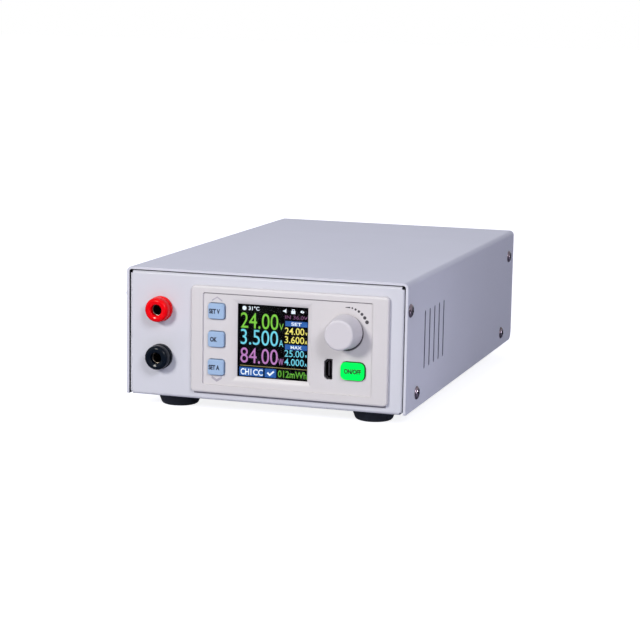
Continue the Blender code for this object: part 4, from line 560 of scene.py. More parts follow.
def makeDotsTool():
    # round dots along an arc in the front plane, growing from the first to the last
    even, widening = 0.8, 0.2  # shares of an even pitch and of one that grows
    tool, given = newTool("growingDots", {
        "Centre": (0, 0, 0), "Arc radius": 8.9 * mm, "Start angle": 1.4, "End angle": 0.4,
        "First radius": 0.25 * mm, "Last radius": 0.7 * mm, "Count": 6,
        "Thickness": 0.03 * mm})
    index = addNode(tool, "GeometryNodeInputIndex").outputs[0]
    share = maths(tool, "DIVIDE", index, maths(tool, "SUBTRACT", given["Count"], 1.0))
    square = maths(tool, "MULTIPLY", share, share)
    eased = maths(tool, "ADD", maths(tool, "MULTIPLY", share, even),
                  maths(tool, "MULTIPLY", square, widening))
    angle = addNode(tool, "ShaderNodeMapRange", {0: eased, 3: given["Start angle"],
                                                 4: given["End angle"]}).outputs[0]
    u, v = (maths(tool, "MULTIPLY", maths(tool, wave, angle), given["Arc radius"])
            for wave in ("COSINE", "SINE"))
    spot = addNode(tool, "ShaderNodeCombineXYZ", {0: u, 2: v})
    place = addNode(tool, "ShaderNodeVectorMath", {0: given["Centre"], 1: spot.outputs[0]},
                    operation="ADD")
    points = addNode(tool, "GeometryNodePoints", {"Count": given["Count"],
                                                  "Position": place.outputs[0]})
    dot = addNode(tool, "GeometryNodeMeshCylinder", {"Vertices": 24, "Radius": 1.0,
                                                     "Depth": given["Thickness"]})
    size = addNode(tool, "ShaderNodeMapRange", {0: share, 3: given["First radius"],
                                                4: given["Last radius"]}).outputs[0]
    scale = addNode(tool, "ShaderNodeCombineXYZ", {0: size, 1: size, 2: 1.0})
    upright = addNode(tool, "FunctionNodeAxisAngleToRotation", {0: (1, 0, 0), 1: math.pi / 2})
    return closeTool(tool, given, {"Points": points.outputs[0], "Instance": dot.outputs[0],
                                   "Rotation": upright.outputs[0], "Scale": scale.outputs[0]})


addCamera(viewpoint)
addWorld(studio)
addLamps(studio)
addFloor(studio)
print("studio ready")


# Folded case

caseLook = {
    "edge": 0.18 * mm,
    "rimHighlightDepth": 0.12 * mm,  # painted highlight along the sheet's cut front edge, which is lighter
    "rimHighlight": (0.62, 0.62, 0.70),
    "slotBand": (0.12 * mm, 0.95 * mm),  # the part of the slots' walls that gets painted shade
    "slotMargins": (1 * mm, 8 * mm, 5 * mm),  # without slots at the ends, below and above
    "slotShade": (0.15, 0.15, 0.20),
    "underModuleShadow": (0.85 * mm, 0.3 * mm),  # reach and depth of the painted shadow under the module
    "creaseShade": (0.22, 0.21, 0.25),
    "mouthShade": (0.4 * mm, 8 * mm, 0.8 * mm),  # start, end and inset of the painted shade inside the cover
    "foldShade": (0.9 * mm, 8 * mm, 0.6 * mm),  # and of the painted shade on the panel's folded edges
    # painted shade for the gap between cover and panel
    "gapShade": (0.045, 0.045, 0.06),
    "coverPaint": {"colour": (0.565, 0.565, 0.655), "tone": (0.012, 30.0),
                   "gloss": (0.60, 0.63, 600.0), "grain": (2400.0, 0.012 * mm),
                   "specular": 0.12},
    "panelPaint": {"colour": (0.60, 0.60, 0.665), "tone": (0.012, 30.0),
                   "gloss": (0.45, 0.49, 600.0), "grain": (2400.0, 0.012 * mm),
                   "specular": 0.4},
}


def boxMask(tree, low, high):
    # 1 inside a box of Object coordinates, 0 outside
    coords = addNode(tree, "ShaderNodeTexCoord")
    split = addNode(tree, "ShaderNodeSeparateXYZ", {0: coords.outputs["Object"]})
    mask = 1.0
    for source, start, end in zip(split.outputs, low, high):
        for limit, operation in ((start, "GREATER_THAN"), (end, "LESS_THAN")):
            mask = maths(tree, "MULTIPLY", maths(tree, operation, source, limit), mask)
    return mask


def discMask(tree, centre, radius, blur):
    # 1 inside a cylinder along Y, fading to 0 at its radius
    coords = addNode(tree, "ShaderNodeTexCoord")
    flat = addNode(tree, "ShaderNodeVectorMath", {0: coords.outputs["Object"], 1: (1, 0, 1)},
                   operation="MULTIPLY")
    away = addNode(tree, "ShaderNodeVectorMath", {0: flat.outputs[0],
                                                  1: (centre[0], 0, centre[1])},
                   operation="DISTANCE")
    fade = addNode(tree, "ShaderNodeMapRange", {0: away.outputs["Value"], 1: radius - blur,
                                                2: radius + blur, 3: 1.0, 4: 0.0})
    return fade.outputs[0]


def tintBy(material, mask, tone):
    tree = material.node_tree
    colour = tree.nodes["Principled BSDF"].inputs["Base Color"]
    tree.links.new(mixTones(tree, mask, colour.links[0].from_socket, tone), colour)


def tintWithin(material, low, high, tone):
    tintBy(material, boxMask(material.node_tree, low, high), tone)


# paints highlight and shade on the cover: its cut edge, its slots' walls and the gap inside its
# front
def paintCoverShading(look):
    low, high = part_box("top_cover")
    ends, below, above = look["slotMargins"]
    # painted shade on the walls of the side slots
    start, end = look["slotBand"]
    for left, right in ((low.x + start, low.x + end), (high.x - end, high.x - start)):
        tintWithin(coverPaint, (left, low.y + ends, low.z + below),
                   (right, high.y - ends, high.z - above), look["slotShade"])
    # painted highlight on the cover's cut front edge
    tintWithin(coverPaint, (-beyond, -beyond, -beyond),
               (beyond, low.y + look["rimHighlightDepth"], beyond), look["rimHighlight"])
    # painted shade in the gap inside the cover's front
    start, end, inset = look["mouthShade"]
    tintWithin(coverPaint, (low.x + inset, low.y + start, -beyond),
               (high.x - inset, low.y + end, high.z - inset), look["gapShade"])


# paints the shadow under the module and the shade in the gaps of the panel's folded edges
def paintPanelShade(look):
    bezelLow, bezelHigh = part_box("module_bezel")
    low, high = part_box("chassis")
    # painted shadow on the panel under the module's bottom edge
    reach, depth = look["underModuleShadow"]
    tintWithin(panelPaint, (bezelLow.x + reach, -beyond, bezelLow.z - reach),
               (bezelHigh.x - reach, low.y + depth, bezelLow.z + reach), look["creaseShade"])
    # painted shade on the panel's folded edges, in the gap behind the cover
    start, end, inset = look["foldShade"]
    start, end = low.y + start, low.y + end
    for near, far in (((-beyond, start, -beyond), (low.x + inset, end, beyond)),
                      ((high.x - inset, start, -beyond), (beyond, end, beyond)),
                      ((-beyond, start, high.z - inset), (beyond, end, beyond))):
        tintWithin(panelPaint, near, far, look["gapShade"])


coverPaint = texturedSurface("coverPaint", caseLook["coverPaint"])
panelPaint = texturedSurface("panelPaint", caseLook["panelPaint"])
paintCoverShading(caseLook)
paintPanelShade(caseLook)
softCopy("foldedCover", "top_cover", coverPaint, caseLook["edge"])
softCopy("foldedChassis", "chassis", panelPaint, caseLook["edge"])

screwLook = {
    "cover": {"Head radius": 2.65 * mm, "Head height": 0.9 * mm, "Recess length": 3.2 * mm,
              "Recess width": 0.85 * mm, "Recess depth": 0.75 * mm, "Seed": 4},
    "fan": {"Head radius": 3.0 * mm, "Head height": 1.6 * mm, "Shank length": 9.0 * mm,
            "Seed": 9},
    "fanReach": 16 * mm,  # from the fan's centre, across and up
    "fanGap": 0.02 * mm,
    # the steel's wide tone spread paints glints: light and dark specks stand in for reflections
    "steel": {"colour": (0.13, 0.105, 0.13), "tone": (0.75, 600.0), "metallic": 1.0,
              "gloss": (0.12, 0.22, 1500.0), "grain": (5000.0, 0.004 * mm)},
}
screwSteel = texturedSurface("screwSteel", screwLook["steel"])
screwTool = makeScrewTool()


def addScrews(name, places, facing, sizes):
    mesh = useTool(screwTool, name, pointsMesh(places, facing), sizes, screwSteel)
    piece = newPiece(name, mesh, screwSteel)
    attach(piece, "case")
    return piece


def addCoverScrews(sizes):
    names = [name for name in nodes if name.startswith("cover_screw")]
    places, facing = [], []
    for name in names:
        low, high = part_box(name)
        side = 1 if high.x > 0 else -1
        seat = (high.x if side > 0 else low.x) - side * sizes["Head height"]
        places.append((seat, (low.y + high.y) / 2, (low.z + high.z) / 2))
        facing.append((side, 0, 0))
    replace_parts(addScrews("coverScrews", places, facing, sizes), *names)


addCoverScrews(screwLook["cover"])

footLook = {
    "topRadius": 9.2 * mm,
    "bottomRadius": 7.2 * mm,
    "height": 5.5 * mm,
    "gap": 0.3 * mm,  # under the tray
    "edge": 1.4 * mm,
    "topRounding": 0.35 * mm,
    "treadShares": (0.62, 0.66, 0.72),  # a groove in the sole, as shares of its radius
    "treadDepth": 0.35 * mm,
    "stud": (2.6 * mm, 3.4 * mm, 1.2 * mm),  # neck and head radius, height of the head
    "studSeat": 1.3 * mm,  # the stud's head lies on the tray
    "rounding": 0.2 * mm,
    "rubber": {"colour": (0.009, 0.012, 0.021), "tone": (0.25, 200.0),
               "gloss": (0.45, 0.62, 300.0), "grain": (1500.0, 0.02 * mm), "specular": 0.4},
}
footRubber = texturedSurface("footRubber", footLook["rubber"])


def addFeet(look):
    sole, top, soft = look["bottomRadius"], look["topRadius"], look["rounding"]
    inner, groove, outer = (sole * share for share in look["treadShares"])
    tall, seat = look["height"] - look["gap"], look["height"] + look["studSeat"]
    neck, head, thick = look["stud"]
    profile = [(0, 0), (inner, 0, soft), (groove, look["treadDepth"], soft), (outer, 0, soft),
               (sole, 0, look["edge"]), (top, tall, look["topRounding"]), (neck, tall),
               (neck, seat), (head, seat), (neck, seat + thick), (0, seat + thick)]
    for name in ("foot_front_left", "foot_front_right", "foot_rear_left", "foot_rear_right"):
        middle = middleOf(name)
        mesh = lathe(name, profile, (middle.x, middle.y, 0), "up")
        piece = newPiece(name.replace("foot", "rubberFoot"), mesh, footRubber)
        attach(piece, "case")
        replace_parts(piece, name)


addFeet(footLook)
print("case done")


# Output sockets

socketLook = {
    "shellRadius": 4.8 * mm,
    "shoulderRadius": 5.0 * mm,
    "reach": 5.8 * mm,
    "mouth": 2.25 * mm,
    "lip": (3.4 * mm, 0.4 * mm),  # radius of its crest and depth of the funnel inside it
    "lipRounding": 0.9 * mm,
    "fine": 0.1 * mm,  # rounding of the small edges
    "soft": 0.3 * mm,  # rounding of the narrow mouth and of the sleeve's ends
    "bore": 2.8 * mm,
    "stem": 4.0 * mm,
    "shoulderGap": 0.1 * mm,
    "shoulderRounding": 0.15 * mm,
    "sleeveGap": 0.3 * mm,  # from the sleeve's end to the narrow mouth
    "sleeveSetBack": 2.5 * mm,
    "sleeve": (2.05 * mm, 2.5 * mm, 16.5 * mm),  # inner and outer radius, depth
    "sleeveRounding": 0.2 * mm,
    "tail": (1.25 * mm, 5.0 * mm),
    "frontRim": 1.3 * mm,
    "groove": (2.0 * mm, 0.6 * mm, 0.2 * mm),  # place, width, depth
    "red": {"colour": (0.83, 0.0, 0.004), "tone": (0.04, 120.0), "specular": 0.10,
            "gloss": (0.08, 0.13, 260.0), "grain": (1800.0, 0.001 * mm)},
    "black": {"colour": (0.002, 0.005, 0.011), "tone": (0.2, 120.0), "specular": 0.10,
              "gloss": (0.08, 0.13, 260.0), "grain": (1800.0, 0.001 * mm)},
    # the sleeve's metal is made very dark, as painted shade deep in the bore
    "brass": {"colour": (0.20, 0.17, 0.14), "tone": (0.08, 500.0), "metallic": 1.0,
              "gloss": (0.2, 0.34, 900.0), "grain": (3000.0, 0.004 * mm)},
}
socketRed = texturedSurface("socketRed", socketLook["red"])
socketBlack = texturedSurface("socketBlack", socketLook["black"])
shadedSleeveBrass = texturedSurface("shadedSleeveBrass", socketLook["brass"])


def addSocket(polarity, look, material):
    shell, sleeve = polarity + "_jack_shell", polarity + "_jack_sleeve"
    low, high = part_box(shell)
    panel = low.y + look["reach"]
    centre = (middleOf(shell).x, panel, middleOf(shell).z)
    place, width, depth = look["groove"]
    above, below = place + width / 2, place - width / 2
    r, base, bore, stem = (look[key] for key in ("shellRadius", "shoulderRadius", "bore", "stem"))
    reach, mouth, gap = look["reach"], look["mouth"], look["shoulderGap"]
    fine, soft, (crest, sink) = look["fine"], look["soft"], look["lip"]
    step, end = reach - look["sleeveSetBack"] + look["sleeveGap"], panel - high.y
    profile = [(mouth, reach - sink, soft), (crest, reach, look["lipRounding"]),
               (r, reach, look["frontRim"]), (r, above, fine), (r - depth, above),
               (r - depth, below), (base, below, look["shoulderRounding"]), (base, gap),
               (stem, gap), (stem, end), (bore, end), (bore, step), (mouth, step)]
    mesh = lathe(polarity + "Shell", profile, centre, "front", closed=True)
    piece = newPiece(polarity + "SocketShell", mesh, material)
    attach(piece, "case")
    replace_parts(piece, shell)
    low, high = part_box(sleeve)
    front, back = panel - low.y, panel - high.y
    inner, outer, deep = look["sleeve"]
    thin, length = look["tail"]
    profile = [(0, front - deep), (inner, front - deep, soft), (inner, front, fine),
               (outer, front, fine), (outer, back + length, look["sleeveRounding"]),
               (thin, back + length), (thin, back, soft), (0, back)]
    mesh = lathe(polarity + "Sleeve", profile, centre, "front")
    piece = newPiece(polarity + "SocketSleeve", mesh, shadedSleeveBrass)
    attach(piece, "case")
    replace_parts(piece, sleeve)


addSocket("positive", socketLook, socketRed)
addSocket("negative", socketLook, socketBlack)
print("sockets done")


# Control module: bezel, keys, button, knob and USB socket

moduleLook = {
    "edge": 0.22 * mm,
    "bezel": {"colour": (0.63, 0.60, 0.62), "tone": (0.008, 60.0),
              "gloss": (0.40, 0.50, 200.0), "grain": (2200.0, 0.010 * mm), "specular": 0.4},
    "knob": {"colour": (0.61, 0.58, 0.62), "tone": (0.01, 60.0),
             "gloss": (0.40, 0.50, 200.0), "grain": (2200.0, 0.006 * mm), "specular": 0.35},
    "keys": {"colour": (0.32, 0.45, 0.66), "tone": (0.02, 150.0),
             "gloss": (0.42, 0.55, 300.0), "grain": (2600.0, 0.008 * mm), "specular": 0.35},
    "fieldDepth": 0.7 * mm,
    "fieldLeft": 5.0 * mm,
    "fieldRight": 6.2 * mm,
    "fieldAbove": 2.6 * mm,
    "creaseDepths": (0.3 * mm, 1.2 * mm),  # start and end of the painted shade, behind the bezel's front
    "topCrease": (0.42 * mm, 0.05 * mm),  # reach of the painted shade into the field and into its wall
    "creaseShade": (0.27, 0.25, 0.27),
    "sideCrease": (0.22 * mm, 0.05 * mm),
    # painted shade along the field's right edge
    "sideCreaseShade": (0.42, 0.39, 0.42),
    "buttonSide": (0.0, 0.26, 0.03),
    "glowDepth": 0.25 * mm,  # only the button's front is lit through
    "button": {"colour": (0.0, 0.62, 0.07), "tone": (0.03, 250.0),
               "gloss": (0.35, 0.45, 300.0), "grain": (2600.0, 0.006 * mm), "specular": 0.05,
               "glow": ((0.0, 1.0, 0.10), 0.50)},
}
bezelPlastic = texturedSurface("bezelPlastic", moduleLook["bezel"])
knobPlastic = texturedSurface("knobPlastic", moduleLook["knob"])
keySilicone = texturedSurface("keySilicone", moduleLook["keys"])
litGreen = texturedSurface("litGreen", moduleLook["button"])


def dimButtonSides(look):
    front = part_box("output_button")[0].y + look["glowDepth"]
    tintWithin(litGreen, (-beyond, front, -beyond), (beyond, beyond, beyond),
               look["buttonSide"])
    tree = litGreen.node_tree
    lit = boxMask(tree, (-beyond, -beyond, -beyond), (beyond, front, beyond))
    tree.links.new(mixTones(tree, lit, (0, 0, 0), look["button"]["glow"][0]),
                   tree.nodes["Principled BSDF"].inputs["Emission Color"])


def paintFieldShade(look):
    # painted shade along the top edge and the right edge of the sunk field, under its step
    low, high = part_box("module_bezel")
    top, side = high.z - look["fieldAbove"], high.x - look["fieldRight"]
    start, end = (low.y + depth for depth in look["creaseDepths"])
    inward, outward = look["sideCrease"]
    tintWithin(bezelPlastic, (side - inward, start, low.z + look["fieldAbove"]),
               (side + outward, end, top), look["sideCreaseShade"])
    inward, outward = look["topCrease"]
    tintWithin(bezelPlastic, (low.x + look["fieldLeft"], start, top - inward),
               (side, end, top + outward), look["creaseShade"])


dimButtonSides(moduleLook)
paintFieldShade(moduleLook)
softCopy("mouldedBezel", "module_bezel", bezelPlastic, moduleLook["edge"])
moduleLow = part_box("module_bezel")[0]
fieldFace = moduleLow.y + moduleLook["fieldDepth"]  # the sunk field of the bezel

keyLook = {
    "lip": 0.6 * mm,
    "lipPlace": (1.9 * mm, 0.8 * mm),  # depth behind the field, thickness
    "lipCorner": 0.2 * mm,
    "lipFacets": 2,
    "rim": 0.35 * mm,
    "rimSteps": 4,
    "keyCorner": 0.9 * mm,
    "buttonCorner": 2.0 * mm,
    "stemRadius": 1.4 * mm,
    "stemSteps": 24,
    "overlaps": (0.3 * mm, 0.5 * mm),  # cap into lip, stem into cap
}


def addKey(name, node, body, corner, material, look):
    low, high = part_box(node)
    lip, (place, thick) = look["lip"], look["lipPlace"]
    capOverlap, stemOverlap = look["overlaps"]
    centre = middleOf(node)
    width, height = high.x - low.x - 2 * lip, high.z - low.z - 2 * lip
    lipFront = fieldFace + place
    shape = bmesh.new()
    addCap(shape, width, height, corner, low.y, lipFront + capOverlap, centre)
    bmesh.ops.recalc_face_normals(shape, faces=shape.faces)
    front = [edge for edge in shape.edges
             if all(abs(vert.co.y - low.y) < 1e-6 for vert in edge.verts)]
    bmesh.ops.bevel(shape, geom=front, offset=look["rim"], segments=look["rimSteps"],
                    profile=0.5, affect="EDGES")
    addCap(shape, width + 2 * lip, height + 2 * lip, look["lipCorner"], lipFront,
           lipFront + thick, centre, look["lipFacets"])
    bmesh.ops.recalc_face_normals(shape, faces=shape.faces)
    cap = meshOf(shape, name)
    smoothShade(cap)
    radius, back = look["stemRadius"], high.y - lipFront
    stem = lathe(name, [(0, -stemOverlap), (radius, -stemOverlap), (radius, back), (0, back)],
                 (centre.x, lipFront, centre.z), "back", look["stemSteps"])
    piece = newPiece(name, joinMeshes(name, [cap, stem]), material)
    evenNormals(piece)
    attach(piece, body)
    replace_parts(piece, node)


for node in ("voltage_key", "ok_key", "current_key"):
    addKey(node.split("_")[0] + "Key", node, node + "_body", keyLook["keyCorner"], keySilicone,
           keyLook)
addKey("outputButton", "output_button", "output_button_body", keyLook["buttonCorner"], litGreen,
       keyLook)

knobLook = {
    "frontRadius": 5.8 * mm,
    "baseRadius": 6.8 * mm,
    "rim": 0.9 * mm,
    "dish": 0.12 * mm,
    "dishEdge": (0.7, 4.0 * mm),  # share of the radius and of the dish, and the rounding
    "neck": (6.3 * mm, 0.35 * mm),  # radius and height of the shadow gap at the base
    "neckRounding": 0.25 * mm,
    "skirt": (5.2 * mm, 2.0 * mm),  # inner radius and depth
    "bore": 3.0 * mm,
    "wall": 1.2 * mm,
    "steps": 96,
    "seatShade": (0.75 * mm, 6.85 * mm, 0.15 * mm),  # drop, radius and blur of the shaded ring
    "seatTone": (0.07, 0.06, 0.075),
}


def addKnob(look):
    low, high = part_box("knob")
    middle, length = middleOf("knob"), high.y - low.y
    front, dish, neck, end = look["frontRadius"], look["dish"], look["neck"], length - look["wall"]
    share, rounding = look["dishEdge"]
    inner, depth = look["skirt"]
    profile = [(0, length - dish), (front * share, length - dish * share, rounding),
               (front, length, look["rim"]),
               (look["baseRadius"], neck[1], look["neckRounding"]), neck, (neck[0], 0.0),
               (inner, 0.0), (inner, depth), (look["bore"], depth), (look["bore"], end),
               (0, end)]
    mesh = lathe("turnedKnob", profile, (middle.x, high.y, middle.z), "front", look["steps"])
    piece = newPiece("turnedKnob", mesh, knobPlastic)
    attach(piece, "knob_body")
    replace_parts(piece, "knob")


def shadeKnobSeat(look):
    # the ring of the field under the knob's foot lies in deep shade
    middle = middleOf("knob")
    drop, radius, blur = look["seatShade"]
    ring = discMask(bezelPlastic.node_tree, (middle.x, middle.z - drop), radius, blur)
    tintBy(bezelPlastic, ring, look["seatTone"])


addKnob(knobLook)
shadeKnobSeat(knobLook)

usbLook = {
    "edge": 0.04 * mm,
    "shell": {"colour": (0.055, 0.05, 0.055), "tone": (0.08, 500.0), "metallic": 1.0,
              "gloss": (0.25, 0.4, 900.0), "grain": (3000.0, 0.004 * mm)},
}
usbMetal = texturedSurface("usbMetal", usbLook["shell"])
softCopy("usbShell", "usb_socket", usbMetal, usbLook["edge"])
print("module done")


# Marks printed on the module

printLook = {
    "thickness": 0.02 * mm,
    "lift": 0.005 * mm,  # in front of the face that carries them
    "ink": {"tone": (0.1, 400.0), "gloss": (0.5, 0.6, 400.0), "grain": (3000.0, 0.004 * mm)},
    "inkTones": {"printInk": (0.045, 0.04, 0.05), "paleInk": (0.40, 0.37, 0.43),
                 "keyInk": (0.012, 0.02, 0.05), "buttonInk": (0.0, 0.04, 0.008)},
    # places from the module's lower left corner
    "dotCentre": (63.35 * mm, 28.65 * mm),
    "dotArc": 8.9 * mm,
    "dotAngles": (75.5, 23.5),
    "dotRadii": (0.36 * mm, 0.74 * mm),
    "dotCount": 6,
    "dash": ((62.85 * mm, 37.15 * mm), (64.75 * mm, 37.7 * mm)),
    "dashShape": [(0, 0.3), (1, 0), (1, 1), (0, 0.7)],
    "chevronUp": (10.7 * mm, 38.3 * mm),
    "chevronDown": (10.8 * mm, 4.5 * mm),
    "chevronReach": (2.15 * mm, 1.35 * mm),
    "chevronWidths": (0.5 * mm, 0.95 * mm),  # the upper arrow and the lower one
    "wordWeight": 0.05,
}
inks = {name: texturedSurface(name, {**printLook["ink"], "colour": tone})
        for name, tone in printLook["inkTones"].items()}


def chevronMesh(apex, reach, width, sign, depth, thickness):
    side, rise = reach
    slant = width * math.hypot(side, rise) / side
    u, v = apex[0] + moduleLow.x, apex[1] + moduleLow.z
    points = [(u - side, v - sign * rise), (u, v), (u + side, v - sign * rise),
              (u + side, v - sign * (rise + slant)), (u, v - sign * slant),
              (u - side, v - sign * (rise + slant))]
    mesh = bpy.data.meshes.new("chevron")
    mesh.from_pydata([(a, depth, b) for a, b in points], [], [(0, 1, 4, 5), (1, 2, 3, 4)])
    return thicken(mesh, thickness)


def addArrows(look, depth):
    meshes = [chevronMesh(look[name], look["chevronReach"], width, sign, depth,
                          look["thickness"])
              for name, width, sign in zip(("chevronUp", "chevronDown"),
                                           look["chevronWidths"], (1, -1))]
    arrows = newPiece("printedArrows", joinMeshes("printedArrows", meshes), inks["paleInk"])
    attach(arrows, "case")


def addLevelScale(look, depth):
    low, high = ((u + moduleLow.x, v + moduleLow.z) for u, v in look["dash"])
    dash = fitFlat(outlineMesh(look["dashShape"]), low, high, depth, look["thickness"])
    x, z = look["dotCentre"][0] + moduleLow.x, look["dotCentre"][1] + moduleLow.z
    start, end = (math.radians(angle) for angle in look["dotAngles"])
    first, last = look["dotRadii"]
    dots = useTool(makeDotsTool(), "levelDots", pointsMesh([(0, 0, 0)], [(0, 0, 1)]),
                   {"Centre": (x, depth, z), "Arc radius": look["dotArc"],
                    "Start angle": start, "End angle": end, "First radius": first,
                    "Last radius": last, "Count": look["dotCount"],
                    "Thickness": look["thickness"]}, inks["printInk"])
    piece = newPiece("printedLevelScale", joinMeshes("printedLevelScale", [dots, dash]),
                     inks["printInk"])
    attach(piece, "case")


addArrows(printLook, fieldFace - printLook["lift"])
addLevelScale(printLook, fieldFace - printLook["lift"])

keyWords = {
    # node: words, width, height, shift to the side, ink, body
    "voltage_key": ("SET V", 4.5 * mm, 1.95 * mm, -0.60 * mm, "keyInk", "voltage_key_body"),
    "ok_key": ("OK", 2.9 * mm, 1.9 * mm, -0.9 * mm, "keyInk", "ok_key_body"),
    "current_key": ("SET A", 4.5 * mm, 1.95 * mm, -0.60 * mm, "keyInk", "current_key_body"),
    "output_button": ("ON/OFF", 6.8 * mm, 1.95 * mm, 0.1 * mm, "buttonInk",
                      "output_button_body"),
}


def addKeyWords(words, look):
    for node, (text, width, height, shift, ink, body) in words.items():
        x, z = middleOf(node).x + shift, middleOf(node).z
        mesh = fitFlat(textMesh(text, look["wordWeight"]), (x - width / 2, z - height / 2),
                       (x + width / 2, z + height / 2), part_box(node)[0].y - look["lift"],
                       look["thickness"])
        piece = newPiece(node.split("_")[0] + "Words", mesh, inks[ink])
        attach(piece, body)


addKeyWords(keyWords, printLook)
print("prints done")


# Colour display: figures glow on the panel behind a clear glass

screenLook = {
    "edge": 0.08 * mm,
    "margin": 1.0 * mm,  # from the glass's edge to the lit area
    "glassTone": (1, 1, 1),
    "glassRoughness": 0.03,
    "index": 1.1,  # a coated glass hardly mirrors
    "ripple": (400.0, 0.0008 * mm),
    "panelTone": (0.002, 0.002, 0.003),
    "panelSpecular": 0.03,
    "figureThickness": 0.02 * mm,
    "figureLift": 0.01 * mm,
    "figureRoughness": 0.6,
    "figureSpecular": 0.1,
    "unlit": 0.2,  # share of its colour that a figure has without its glow
    "unevenness": (2200.0, 0.1),  # scale and spread of the backlight
    "glow": 1.0,
    "colours": {
        "green": (0.17, 0.50, 0.045), "cyan": (0.13, 0.52, 0.64), "violet": (0.40, 0.17, 0.42),
        "yellow": (0.74, 0.66, 0.14), "white": (0.72, 0.80, 0.88), "dimViolet": (0.13, 0.05, 0.12),
        "blue": (0.02, 0.09, 0.32), "leaf": (0.09, 0.32, 0.03), "sand": (0.26, 0.22, 0.08),
    },
    # colour, words, left, top, right, bottom as shares of the screen, stroke weight
    "words": [
        ("green", "24.00", 0.025, 0.125, 0.56, 0.338, 0.0),
        ("green", "V", 0.575, 0.245, 0.635, 0.335, 0.0),
        ("cyan", "3.500", 0.025, 0.352, 0.56, 0.562, 0.0),
        ("cyan", "A", 0.575, 0.470, 0.635, 0.560, 0.0),
        ("violet", "84.00", 0.025, 0.605, 0.56, 0.815, 0.0),
        ("violet", "W", 0.570, 0.725, 0.640, 0.815, 0.0),
        ("white", "31°C", 0.135, 0.035, 0.290, 0.090, 0.015),
        ("dimViolet", "IN 36.0V", 0.655, 0.125, 0.975, 0.175, 0.01),
        ("yellow", "24.00", 0.655, 0.292, 0.930, 0.385, 0.005),
        ("yellow", "v", 0.945, 0.345, 0.975, 0.385, 0.02),
        ("yellow", "3.600", 0.655, 0.410, 0.930, 0.503, 0.005),
        ("yellow", "A", 0.940, 0.455, 0.975, 0.503, 0.02),
        ("cyan", "25.00", 0.655, 0.598, 0.930, 0.691, 0.005),
        ("cyan", "v", 0.945, 0.651, 0.975, 0.691, 0.02),
        ("cyan", "4.000", 0.655, 0.716, 0.930, 0.809, 0.005),
        ("cyan", "A", 0.940, 0.765, 0.975, 0.809, 0.02),
        ("white", "SET", 0.745, 0.218, 0.890, 0.262, 0.02),
        ("white", "MAX", 0.740, 0.538, 0.895, 0.580, 0.02),
        ("white", "CH1", 0.030, 0.893, 0.185, 0.980, 0.02),
        ("white", "CC", 0.210, 0.893, 0.350, 0.980, 0.02),
        ("leaf", "012mWh", 0.565, 0.885, 0.975, 0.980, 0.02),
    ],
    # colour, left, top, right, bottom
    "bars": [
        ("blue", 0.660, 0.203, 0.975, 0.275), ("blue", 0.660, 0.523, 0.975, 0.592),
        ("blue", 0.375, 0.875, 0.540, 0.995), ("blue", 0.012, 0.875, 0.355, 0.995),
        ("sand", 0.020, 0.848, 0.980, 0.856),
    ],
    # colour, outline points as shares: sound mark, lock, two arrows and a tick
    "marks": [
        ("white", [(0.628, 0.062), (0.645, 0.062), (0.672, 0.035), (0.672, 0.098),
                   (0.645, 0.080), (0.628, 0.080)]),
        ("white", [(0.742, 0.062), (0.800, 0.062), (0.800, 0.102), (0.742, 0.102)]),
        ("white", [(0.752, 0.062), (0.752, 0.040), (0.790, 0.040), (0.790, 0.062),
                   (0.780, 0.062), (0.780, 0.050), (0.762, 0.050), (0.762, 0.062)]),
        ("white", [(0.868, 0.070), (0.893, 0.045), (0.893, 0.085)]),
        ("white", [(0.900, 0.050), (0.928, 0.070), (0.900, 0.092)]),
        ("white", [(0.405, 0.938), (0.425, 0.918), (0.448, 0.945), (0.500, 0.898),
                   (0.515, 0.915), (0.448, 0.975)]),
    ],
    "statusDot": (0.075, 0.065, 0.030),  # place and radius
    "dotSteps": 20,
}


def addGlass(look):
    glass, tree, shader = newSurface("screenGlass", look["glassTone"], look["glassRoughness"])
    setInputs(shader, {"Transmission Weight": 1.0, "IOR": look["index"]})
    addGrain(tree, shader, *look["ripple"])
    softCopy("screenGlass", "display_glass", glass, look["edge"])
    panel, tree, shader = newSurface("panelBlack", look["panelTone"])
    setInputs(shader, {"Specular IOR Level": look["panelSpecular"]})
    softCopy("displayPanel", "display_panel", panel, look["edge"])


def figureSurface(name, tint, look):
    material, tree, shader = newSurface(name, [value * look["unlit"] for value in tint],
                                        look["figureRoughness"])
    setInputs(shader, {"Specular IOR Level": look["figureSpecular"],
                       "Emission Strength": look["glow"]})
    scale, spread = look["unevenness"]
    dimmer = [value * (1 - spread) for value in tint]
    brighter = [min(1, value * (1 + spread)) for value in tint]
    glow = mixTones(tree, noiseOn(tree, scale, 1.0), dimmer, brighter)
    tree.links.new(glow, shader.inputs["Emission Color"])
    return material


